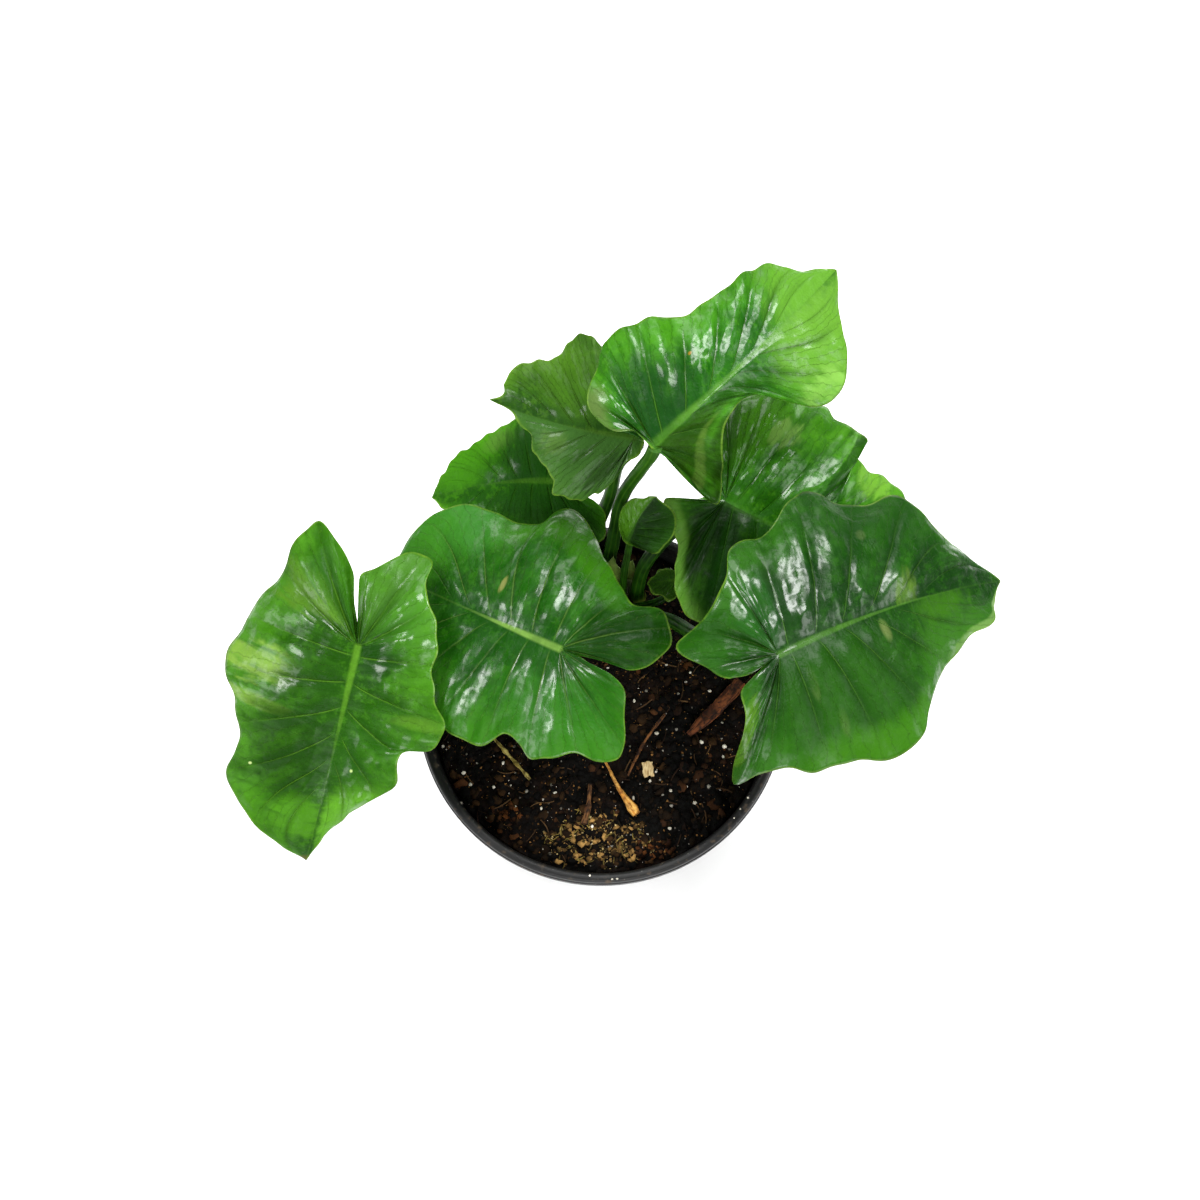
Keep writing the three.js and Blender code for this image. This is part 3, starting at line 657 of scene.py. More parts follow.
class Finish(Tree):
    """A material while it is being made. Its tint turns a hex colour into what the shader takes."""

    def __init__(self, name, constants, tint=colour):
        self.material = bpy.data.materials.new(name)
        self.material.use_nodes = True
        super().__init__(self.material.node_tree)
        self.tint = tint
        self.shader = self.tree.nodes["Principled BSDF"]
        for socket, value in constants.items():
            self.shader.inputs[socket].default_value = value
        self.place = self.node("ShaderNodeTexCoord", out="Object")

    def fade(self, value, start, end, low=0.0, high=1.0):
        """Goes smoothly from low at start to high at end."""
        sockets = {0: value, 1: start, 2: end, 3: low, 4: high}
        return self.node("ShaderNodeMapRange", {"interpolation_type": "SMOOTHSTEP"}, sockets)

    def blend(self, share, first, second):
        """From the first colour at 0 to the second at 1. Either may be a hex code."""
        first, second = (self.tint(c) if isinstance(c, str) else c for c in (first, second))
        sockets = {0: share, 6: first, 7: second}
        return self.node("ShaderNodeMix", {"data_type": "RGBA"}, sockets, out=2)

    def noise(self, size, detail=2.0, distortion=0.0, where=None):
        """Mottling of about the given size in millimetres, from 0 to 1."""
        sockets = {
            "Vector": where or self.place,
            "Scale": 1 / (size * MM),
            "Detail": detail,
            "Distortion": distortion,
        }
        return self.node("ShaderNodeTexNoise", {}, sockets)

    def stretched(self, scale, where=None):
        """Coordinates multiplied by three factors."""
        return self.node("ShaderNodeMapping", {}, {"Vector": where or self.place, "Scale": scale})

    def painted_dip_shade(self):
        """Painted shade in the soil's dips: 1 in the dips, 0 on the crests, the same for all that lies
        there.
        """
        return self.fade(self.noise(DIP_SHADE_SIZE, 3.0), 0.42, 0.56)

    def kept(self, name, out="Fac"):
        """A number or vector that the mesh keeps."""
        return self.node("ShaderNodeAttribute", {"attribute_name": name}, out=out)

    def split(self, vector):
        made = self.tree.nodes.new("ShaderNodeSeparateXYZ")
        self.plug(made.inputs[0], vector)
        return [Number(self, socket) for socket in made.outputs]

    def spots(self, size, reach):
        """Round specks on a cell pattern: 1 in the middle of each, 0 outside."""
        sockets = {"Vector": self.place, "Scale": 1 / (size * MM)}
        distance = self.node("ShaderNodeTexVoronoi", {}, sockets, out="Distance")
        return self.fade(distance, reach, reach * 0.4)

    def feed(self, socket, value):
        self.plug(self.shader.inputs[socket], value)

    def made(self, tint, rough, height, strength, depth):
        """The material, with relief from a height of 0 to 1, depth in millimetres."""
        self.feed("Base Color", tint)
        self.feed("Roughness", rough)
        sockets = {"Height": height, "Strength": strength, "Distance": depth * MM}
        self.feed("Normal", self.node("ShaderNodeBump", {}, sockets, out="Normal"))
        return self.material


@dataclass
class Look:
    """What a leaf looks like under the studio light.

    greens are those of its shade, its deep, middle and bright tissue, and its veins. gloss is its
    roughness, and pucker is how strongly the left and the right half are quilted. A patch is (place
    along the margin, share of the way out to it, their half widths, colour, strength); the place is
    negative on the right half. Besides the leaf's own pale streaks, marks and browned tips, some
    patches are painted shade where other leaves and the blade's own folds shade it, and some are
    painted highlights and sheen. A dull area is like a patch without colour: the leaf shines less
    there. lines is how strongly the veins show. midrib is how light the midrib is at its foot, and
    where along it the light fades out; midrib_width makes it broader.
    """

    greens: tuple
    gloss: float
    pucker: tuple
    patches: list
    dull: tuple = ()
    lines: float = 1.0
    midrib: tuple = (1.0, 0.74)
    midrib_width: float = 1.0


LOOKS = {
    "far_left": Look(
        greens=("#1f4a08", "#2b5c0d", "#3f7a17", "#5f9f32", "#7db04a"), gloss=0.34, pucker=(0.8, 0.8),
        # Of these patches, #a8c47c and #a8c678 are pale streaks, partly the leaf's own yellowing and partly
        # painted highlight; #4f8a3c is a painted sheen, #8fb85c a painted highlight streak, and #1c4a09
        # painted shade near the foot of the left half.
        patches=[
            (-0.515, 0.72, 0.04, 0.36, "#a8c47c", 0.8), (-0.6, 0.74, 0.02, 0.38, "#a8c678", 0.85),
            (-0.33, 0.66, 0.06, 0.3, "#7ba048", 0.5), (-0.27, 0.4, 0.05, 0.25, "#86b05a", 0.6),
            (-0.2, 0.6, 0.09, 0.45, "#2f6611", 0.75), (0.2, 0.62, 0.12, 0.45, "#62964c", 0.5),
            (0.42, 0.3, 0.07, 0.26, "#1c4a09", 0.95), (0.84, 0.6, 0.11, 0.5, "#77b647", 0.95),
            (-0.86, 0.3, 0.07, 0.4, "#62a032", 0.8), (-0.68, 0.4, 0.12, 0.5, "#204a08", 0.93),
            (0.995, 0.6, 0.016, 1.2, "#6b5f3a", 0.9), (-0.995, 0.6, 0.016, 1.2, "#6b5f3a", 0.9),
            (0.32, 0.6, 0.1, 0.4, "#4f8a3c", 0.6), (0.66, 0.5, 0.12, 0.5, "#2f6712", 0.7),
            (-0.17, 0.75, 0.05, 0.3, "#3a7414", 0.7), (-0.52, 0.26, 0.09, 0.26, "#225008", 0.85),
            (0.56, 0.75, 0.015, 0.3, "#8fb85c", 0.3), (-0.74, 0.77, 0.004, 0.02, "#ffffff", 1),
            (0.71, 0.33, 0.004, 0.025, "#e8f0e0", 1),
        ],
        dull=[
            (-0.72, 0.5, 0.14, 0.6), (-0.88, 0.5, 0.12, 0.8), (0.9, 0.4, 0.12, 0.5), (-0.5, 0, 0.2, 0.3),
            (0.5, 0, 0.2, 0.3), (-0.16, 0.6, 0.14, 0.8),
        ],
        midrib=(1.0, 0.7),
    ),
    "front_left": Look(
        greens=("#164410", "#1f5a12", "#347024", "#48892c", "#a0c084"), gloss=0.3, pucker=(0.55, 0.8),
        patches=[
            (-0.625, 0.27, 0.01, 0.07, "#a89a84", 0.8), (-0.21, 0.65, 0.15, 0.6, "#143c05", 0.97),
            (-0.84, 0.8, 0.14, 0.4, "#448a48", 0.8), (-0.62, 0.9, 0.1, 0.16, "#3c7c18", 0.8),
            (0.35, 0.6, 0.2, 0.4, "#3e8434", 0.5), (0.12, 0.75, 0.1, 0.3, "#256114", 0.6),
            (-0.5, 0.85, 0.2, 0.2, "#4e8c24", 0.6), (0.42, 0.16, 0.2, 0.16, "#1d5514", 0.6),
            (-0.9, 0.5, 0.12, 0.5, "#47892e", 0.7),
        ],
        dull=[(-0.19, 0.7, 0.2, 0.9), (0.22, 0.75, 0.12, 0.4), (-0.85, 0.7, 0.12, 0.5)],
        lines=0.65,
    ),
    "front_right": Look(
        greens=("#113412", "#1b481a", "#295e1e", "#3e7828", "#649250"), gloss=0.3, pucker=(1.1, 0.5),
        # Of these patches, #9ab894 is a painted highlight along the right margin and #15391a is painted
        # shade in the valleys between the puckers.
        patches=[
            (0.655, 0.67, 0.009, 0.05, "#b0b0a8", 0.8), (0.72, 0.12, 0.03, 0.16, "#7d9a56", 0.6),
            (-0.45, 0.32, 0.01, 0.14, "#a8b098", 0.85), (-0.49, 0.68, 0.01, 0.12, "#7f9a60", 0.7),
            (-0.64, 0.16, 0.012, 0.1, "#a2a490", 0.7), (-0.8, 0.6, 0.1, 0.5, "#4c8438", 0.6),
            (-0.9, 0.93, 0.12, 0.1, "#9ab894", 0.6), (0.45, 0.35, 0.12, 0.35, "#15391a", 0.7),
            (-0.42, 0.2, 0.08, 0.2, "#1f4d10", 0.8), (-0.5, 0.45, 0.2, 0.45, "#2a5a1a", 0.8),
            (-0.56, 0.95, 0.16, 0.22, "#4c8822", 0.8), (-0.8, 0.15, 0.08, 0.25, "#46782a", 0.7),
            (0.7, 0.8, 0.16, 0.4, "#1e4c1a", 0.85), (0.22, 0.6, 0.08, 0.6, "#285a1a", 0.7),
            (-0.15, 0.9, 0.07, 0.3, "#67903c", 0.85), (0.33, 0.4, 0.1, 0.4, "#2f6a3a", 0.6),
        ],
        dull=[(-0.5, 0.3, 0.3, 0.8), (0.22, 0.6, 0.08, 0.6), (0.68, 0.85, 0.1, 0.35)],
        midrib=(0.9, 0.84),
    ),
    "top_right": Look(
        greens=("#1a5212", "#1f6416", "#38861a", "#5fa62c", "#6c9f48"), gloss=0.36, pucker=(0.8, 0.5),
        # Of these patches, #17491f is painted shade in the cupped foot of the blade; #33570f and #1d3a08
        # are painted shade on the steep right lobe and where it hangs past its fold, and #6f8c50 a painted
        # highlight on the crest of that fold; #80b858, #84b85c and #a8d690 lighten the tip, partly as
        # painted highlight.
        patches=[
            (0.42, 0.25, 0.14, 0.45, "#17491f", 0.95), (0.9, 0.5, 0.14, 1.2, "#80b858", 0.85),
            (-0.84, 0.6, 0.16, 0.9, "#84b85c", 0.85), (-0.72, 0.9, 0.06, 0.2, "#a8d690", 0.7),
            (0.545, 0.55, 0.005, 0.02, "#c8873c", 0.9), (0.15, 0.85, 0.12, 0.25, "#74876a", 0.97),
            (-0.36, 0.45, 0.2, 0.5, "#33570f", 0.95), (-0.27, 0.72, 0.22, 0.07, "#6f8c50", 0.85),
            (-0.3, 1.0, 0.24, 0.16, "#1d3a08", 0.95), (-0.6, 0.3, 0.08, 0.3, "#2c6410", 0.8),
        ],
        dull=[(0.4, 0.3, 0.08, 0.5), (-0.36, 0.5, 0.22, 0.7), (0.52, 0.08, 0.16, 0.3)],
        midrib=(0.8, 0.9), midrib_width=1.9,
    ),
    "mid_right": Look(
        greens=("#28640e", "#2c6c10", "#4c961e", "#68ac30", "#578c38"), gloss=0.37, pucker=(0.9, 0.8),
        # Of these patches, #061e02 and #0c2e04 are painted shade on the right half under the leaves above
        # it, and #9cc088 is a painted highlight.
        patches=[
            (-0.32, 0.4, 0.28, 0.6, "#061e02", 0.98), (-0.46, 0.75, 0.1, 0.4, "#0c2e04", 0.95),
            (0.3, 0.55, 0.12, 0.3, "#5a9430", 0.6), (-0.2, 1.02, 0.22, 0.26, "#7aa464", 0.97),
            (0.74, 0.9, 0.06, 0.25, "#96cc66", 0.8), (0.2, 0.6, 0.1, 0.5, "#2a5a08", 0.7),
            (0.62, 0.7, 0.04, 0.4, "#1c4c08", 0.8), (0.44, 0.62, 0.04, 0.12, "#9cc088", 0.7),
        ],
        dull=[(-0.3, 0.4, 0.28, 0.7)],
        lines=0.4, midrib=(0.3, 0.85),
    ),
    "top_left": Look(
        greens=("#22451a", "#2a5514", "#447420", "#628e34", "#587a3a"), gloss=0.54, pucker=(0.35, 0.35),
        # Of these patches, #4b7446 gives the near half a painted dim grey-green reflection, and #284f10 is
        # painted shade on the far half, which faces away.
        patches=[
            (0.5, 0.5, 0.6, 0.7, "#4b7446", 0.9), (-0.4, 0.4, 0.12, 0.5, "#284f10", 0.8),
            (0.66, 0.5, 0.06, 0.3, "#6f8c60", 0.6), (0.4, 0.55, 0.05, 0.3, "#2c4a24", 0.8),
            (-0.62, 0.5, 0.14, 0.4, "#547f24", 0.6),
        ],
        lines=0.6, midrib=(0.6, 0.7),
    ),
    "mid_left": Look(
        greens=("#1c5206", "#306c0a", "#468c10", "#62ac20", "#5c8c34"), gloss=0.52, pucker=(0.2, 0.25),
        # Of these patches, #6f9658 is a painted grey sheen, and #184c04 and #1c4f06 are painted shade on
        # the parts deep in the plant.
        patches=[
            (-0.64, 0.74, 0.08, 0.2, "#6f9658", 0.7), (-0.5, 0.4, 0.14, 0.8, "#184c04", 0.9),
            (0.4, 0.5, 0.3, 0.6, "#1c4f06", 0.9), (-0.83, 0.6, 0.15, 0.7, "#549c1c", 0.75),
        ],
        dull=[(-0.8, 0.6, 0.2, 0.7), (0.48, 0.6, 0.25, 0.7)],
        lines=0.4,
    ),
    "young": Look(
        greens=("#102c04", "#173a06", "#204c0a", "#2c5a10", "#4c7c2c"), gloss=0.42, pucker=(0.3, 0.3),
        patches=[(0.5, 0.6, 0.6, 0.7, "#5c9028", 0.95)],
        dull=[(-0.6, 0.5, 0.5, 0.9)],
        lines=0.6,
    ),
    "lower": Look(
        greens=("#1c3e06", "#2c560c", "#3c6a12", "#466e18", "#5c8034"), gloss=0.45, pucker=(0.3, 0.3),
        patches=[(0.5, 0.97, 0.5, 0.06, "#86985c", 0.8)],
    ),
}
UNDERSIDE = "#587f3c"
UNDERSIDE_PALE = "#7ba056"
MARGIN_PALE = "#8fae58"


class LeafFinish(Finish):
    """Glossy quilted leaf: sunken light veins, light midrib and margin, mottled green between, with painted
    shade and painted highlights laid into its colour.
    """

    def __init__(self, name, look):
        super().__init__(f"leaf_{name}", {
            "IOR": 1.45, "Specular IOR Level": 0.07, "Coat Roughness": 0.16, "Coat IOR": 1.5,
        }, plant_colour)
        self.look = look
        self.shade, self.deep, self.mid, self.bright, self.pale = look.greens
        spot = self.node("ShaderNodeUVMap", {"uv_map": "vein_map"})
        self.side, self.share, _ = self.split(spot)
        self.along = abs(self.side)
        self.across, self.edge, self.span = self.split(self.kept("blade_reach", "Vector"))
        self.under = self.kept("underside")
        self.broad = self.noise(17, 2.0, 0.6)
        self.mottle = self.noise(6, 3.0, 0.6)
        self.fine = self.noise(2.6, 4.0)
        self.tiny = self.noise(0.7, 2.0)
        self.streak = self.noise(UNSCALED, 3.0, 0.4, self.stretched((52, 2.6, 1), spot))

    def ellipse(self, middle, out, half_place, half_out):
        """0 at the middle of a patch, 1 at its edge, and more outside."""
        return ((self.side - middle) / half_place) ** 2.0 + ((self.share - out) / half_out) ** 2.0

    def tissue(self):
        """Mottled green with its patches and painted shade along the midrib, before the veins."""
        fine, streak = self.fine - 0.5, self.streak - 0.5
        clouds = self.fade(self.broad + fine * 0.3 + streak * 0.5, 0.36, 0.64)
        green = self.blend(clouds, self.deep, self.mid)
        shaded = self.fade(self.mottle + fine * 0.5 + streak * 0.3, 0.42, 0.62) * 0.6
        # Painted shade: darker along the midrib, where the blade folds.
        painted_shade_by_midrib = self.fade(self.across + streak * 12, 11, 1) * 0.6
        green = self.blend(self.maths("MAXIMUM", shaded, painted_shade_by_midrib), green, self.shade)
        specks = self.fade(self.fine + (self.tiny - 0.5) * 0.5, 0.5, 0.68)
        green = self.blend(specks * 0.3, green, self.bright)
        clouds = self.fade(self.broad + streak * 0.6, 0.3, 0.7, 0.3, 0.9)
        green = self.blend(self.fade(self.share, 0.4, 1.05) * clouds, green, self.bright)
        # The patches: the leaf's own marks, and painted shade and painted highlights.
        for middle, out, half_place, half_out, tint, strength in self.look.patches:
            grainy = min(1, half_place / 0.04, (0.05 / half_place) ** 1.2)
            uneven = (streak * 4.8 + fine * 1.2) * grainy
            patch = self.fade(self.ellipse(middle, out, half_place, half_out) + uneven, 1.5, 0.1)
            green = self.blend(patch * strength, green, tint)
        return green

    def veined(self, green):
        """Draws the veins and the veinlets between them. They lie where the quilting sinks. Painted shade
        darkens the valleys beside the veins and painted light brightens the ridges between them.
        """
        past_lobe = self.maths("GREATER_THAN", self.along, LOBE_SHARE)
        spread = 1 - past_lobe * (1 - VEIN_ROOTS) * (1 - self.share ** VEIN_BOW)
        lane = LOBE_SHARE + (self.along - LOBE_SHARE) / spread
        from_vein = abs(self.maths("FRACT", lane * VEINS + 0.5) - 0.5) * self.span * spread / VEINS
        # Painted shade in the valleys beside the veins, painted light on the ridges between them
        painted_vein_shade = self.fade(from_vein, 2.6, 0.3) * self.fade(self.across, 2, 8)
        painted_vein_shade = painted_vein_shade * self.fade(self.share, 0.95, 0.4)
        painted_ridge_light = self.fade(from_vein, 1.8, 4.5) * self.fade(self.across, 4, 12)
        painted_ridge_light = painted_ridge_light * self.fade(self.fine, 0.3, 0.6)
        vein = self.fade(from_vein, 0.42, 0.05) * self.fade(self.across, 0.4, 3)
        vein = vein * self.fade(lane, 1.02, 0.98) * self.fade(self.share, 0.85, 0.15, 0.12, 1.0)
        vein = vein * self.fade(self.broad, 0.25, 0.55, 0.35, 1.0)
        veinlets = 4 * VEINS
        veinlet = abs(self.maths("FRACT", lane * veinlets + self.fine * 1.2) - 0.5) * self.span / veinlets
        veinlet = self.fade(veinlet, 0.14, 0.02) * self.fade(self.across, 3, 8)
        lines = self.look.lines
        green = self.blend(painted_vein_shade * 0.42 * lines, green, self.shade)
        green = self.blend(painted_ridge_light * 0.22 * lines, green, self.bright)
        green = self.blend(veinlet * 0.14 * lines, green, self.pale)
        return self.blend(vein * 0.42 * lines, green, self.pale), vein, veinlet

    def light_midrib(self):
        """1 on the midrib, 0 beside it, fading towards the tip."""
        foot, fading = self.look.midrib
        width = self.fade(self.along, 0.4, 0.72, 1.1, 0.3) * self.look.midrib_width
        midrib = self.fade(self.across / width, 1.35, 0.4)
        midrib = midrib * self.fade(self.along, fading, fading - 0.2, 0.15, 0.75)
        midrib = midrib * self.fade(self.along, 0.42, 0.6, foot, 1.0)
        return midrib * self.fade(self.mottle, 0.3, 0.6, 1.0, 0.6)

    def wetness(self):
        """Where the leaf shines: in broken streaks, less on its dull areas, not underneath."""
        streak = self.streak - 0.5
        wet = (1 - self.under) * self.fade(self.broad + streak * 0.8, 0.34, 0.64, 0.05, 0.9)
        wet = wet * self.fade(self.noise(1.7, 3.0, 0.6) + streak * 0.5, 0.4, 0.58, 0.3, 1.15)
        for area in self.look.dull:
            wet = wet * self.fade(self.ellipse(*area), 0.4, 1.3, 0.1, 1.0)
        return wet

    def whole(self):
        green, vein, veinlet = self.veined(self.tissue())
        midrib = self.light_midrib()
        green = self.blend(midrib, green, self.pale)
        margin = self.fade(self.edge, 0.7, 0.15)
        margin = margin * self.fade(self.fine * 0.5 + self.broad * 0.5, 0.35, 0.6, 0.15, 0.7)
        green = self.blend(margin, green, MARGIN_PALE)
        below = self.blend(vein * 0.5 + midrib * 0.5 + self.streak * 0.2, UNDERSIDE, UNDERSIDE_PALE)
        green = self.blend(self.under, green, below)
        gloss = self.look.gloss
        rough = self.fade(self.streak, 0.3, 0.7, gloss, gloss + 0.18) + self.under * 0.2 + vein * 0.1
        self.feed("Coat Weight", self.wetness() * (1 - midrib * 0.8) * (0.62 - gloss) * 2.9)
        relief = self.mottle * 1.8 + self.streak * 0.8 + self.fine * 0.4 + self.tiny * 0.3
        return self.made(green, rough, relief - vein * 0.9 - veinlet * 0.3, strength=1.0, depth=0.42)


def stalk_finish():
    """Pale green stalk with fine lengthwise streaks, darker towards the foot."""
    constants = {"Specular IOR Level": 0.1, "Coat Weight": 0.06, "Coat Roughness": 0.2}
    finish = Finish("leaf_stalk", constants, plant_colour)
    streaks = 9
    around, share = finish.kept("around"), finish.kept("share")
    mottle = finish.noise(4, 3.0)
    green = finish.blend(finish.fade(mottle, 0.3, 0.7), "#163e08", "#30641a")
    green = finish.blend(finish.fade(share, 0.5, 1.0) * 0.45, green, "#4c7e30")
    streak = finish.fade(finish.maths("SINE", around * (2 * math.pi * streaks)), 0.2, 1.0)
    green = finish.blend(streak * 0.28, green, "#6c9444")
    green = finish.blend(finish.fade(share, 0.1, 0.0) * 0.5, green, "#8e8a4c")
    rough = finish.fade(mottle, 0.3, 0.7, 0.34, 0.5)
    return finish.made(green, rough, streak * 0.5 + finish.noise(0.8, 3.0), strength=0.3, depth=0.12)


def sheath_finish():
    """Papery pale green sheath, browning in blotches."""
    finish = Finish("dry_sheath", {}, plant_colour)
    mottle = finish.noise(3, 4.0)
    green = finish.blend(finish.fade(mottle, 0.3, 0.7), "#7f9a4a", "#b4c088")
    green = finish.blend(finish.fade(finish.noise(6, 2.0), 0.58, 0.72) * 0.7, green, "#8a6a3a")
    rough = finish.fade(mottle, 0.2, 0.8, 0.5, 0.75)
    return finish.made(green, rough, mottle, strength=0.5, depth=0.2)


def crown_finish():
    """Olive stem with brown leaf scars and dusty patches."""
    finish = Finish("crown_stem", {}, plant_colour)
    mottle = finish.noise(3.5, 5.0)
    skin = finish.blend(finish.fade(mottle, 0.35, 0.65), "#37401a", "#6b7034")
    skin = finish.blend(finish.fade(finish.noise(7, 3.0), 0.5, 0.62) * 0.8, skin, "#3a2616")
    rough = finish.fade(mottle, 0.3, 0.7, 0.55, 0.85)
    return finish.made(skin, rough, mottle + finish.noise(0.9, 3.0) * 0.5, strength=0.7, depth=0.4)


def pot_finish():
    """Satin charcoal plastic, finely grained, with scuffs and a little soil dust near the lip."""
    constants = {"Specular IOR Level": 0.24, "Coat Weight": 0.03, "Coat Roughness": 0.35}
    finish = Finish("pot_plastic", constants)
    _, _, height = finish.split(finish.place)
    cloud = finish.noise(16, 4.0)
    grain = finish.noise(0.45, 2.0)
    black = finish.blend(finish.fade(cloud, 0.3, 0.7), "#0e0e0e", "#191918")
    dust = finish.fade(height, (POT_HEIGHT - DUST_DEPTH) * MM, POT_HEIGHT * MM)
    dust = dust * finish.fade(finish.noise(2.2, 5.0), 0.56, 0.74)
    black = finish.blend(dust * 0.55, black, "#5a4c3c")
    black = finish.blend(finish.spots(1.7, 0.16) * 0.2, black, "#8b8a84")
    scuff = finish.fade(finish.noise(7, 5.0, 0.4, finish.stretched((1, 1, 7))), 0.62, 0.74)
    black = finish.blend(scuff * 0.14, black, "#6d7072")
    rough = finish.fade(grain, 0.3, 0.7, 0.36, 0.5) + dust * 0.3 + scuff * 0.12
    return finish.made(black, rough, grain * 0.6 + cloud * 0.6, strength=0.25, depth=0.15)


def soil_finish():
    """Moist dark potting mix, with painted shade in its dips."""
    finish = Finish("potting_soil", {"Specular IOR Level": 0.08})
    mottle = finish.noise(3, 6.0, 0.5)
    grit = finish.noise(0.8, 4.0)
    brown = finish.blend(finish.fade(mottle, 0.35, 0.7), "#040201", "#130a05")
    brown = finish.blend(finish.fade(grit, 0.55, 0.75) * 0.5, brown, "#26170c")
    # Painted shade: near black in the soil's dips.
    brown = finish.blend(finish.painted_dip_shade() * 0.9, brown, "#010100")
    rough = finish.fade(grit, 0.3, 0.7, 0.6, 0.95)
    return finish.made(brown, rough, grit + mottle * 0.6, strength=0.9, depth=0.5)


def grain_finish(name, dark, light, rough, size=0.8, relief=0.25, start=0.2, dip_shade=0.75):
    """Scattered grains, each with its own tone between a dark and a light one, darkened by the painted
    shade of the soil's dips.
    """
    finish = Finish(name, {"Specular IOR Level": 0.1})
    grit = finish.noise(size, 4.0)
    skin = finish.blend(finish.fade(finish.kept("shade") * 0.75 + grit * 0.4, start, 0.98), dark, light)
    # The painted shade of the soil's dips, laid on the grains too.
    skin = finish.blend(finish.painted_dip_shade() * dip_shade, skin, dark)
    rough = finish.fade(grit, 0.2, 0.8, rough - 0.15, rough)
    return finish.made(skin, rough, grit, strength=0.7, depth=relief)


def bark_finish(name, dark, middle, light, rough):
    """Root, twig or bark: uneven streaks along its length, darker in the cracks."""
    finish = Finish(name, {"Specular IOR Level": 0.2})
    mottle = finish.noise(1.6, 5.0, 0.8)
    along = finish.node("ShaderNodeCombineXYZ", {}, {
        0: finish.kept("around") * 13, 1: finish.kept("share") * 4,
    })
    streak = finish.fade(finish.noise(UNSCALED, 4.0, 0.6, along), 0.42, 0.62)
    skin = finish.blend(finish.fade(mottle, 0.35, 0.65), dark, middle)
    skin = finish.blend(streak * finish.fade(mottle, 0.3, 0.6) * 0.8, skin, light)
    rough = finish.fade(mottle, 0.2, 0.8, rough - 0.2, rough)
    return finish.made(skin, rough, streak * 0.6 + mottle, strength=0.8, depth=0.3)


def chip_finish():
    """Pale sawn wood, straight in the grain."""
    finish = Finish("wood_chip", {})
    grain = finish.noise(1.2, 4.0, 0.3, finish.stretched((3.5, 0.7, 3.5)))
    wood = finish.blend(finish.fade(grain, 0.3, 0.7), "#9a7844", "#cfb98a")
    wood = finish.blend(finish.fade(finish.noise(2, 3.0), 0.6, 0.75) * 0.6, wood, "#6a4a2a")
    rough = finish.fade(grain, 0.3, 0.7, 0.6, 0.8)
    return finish.made(wood, rough, grain, strength=0.7, depth=0.2)


# Geometry Nodes

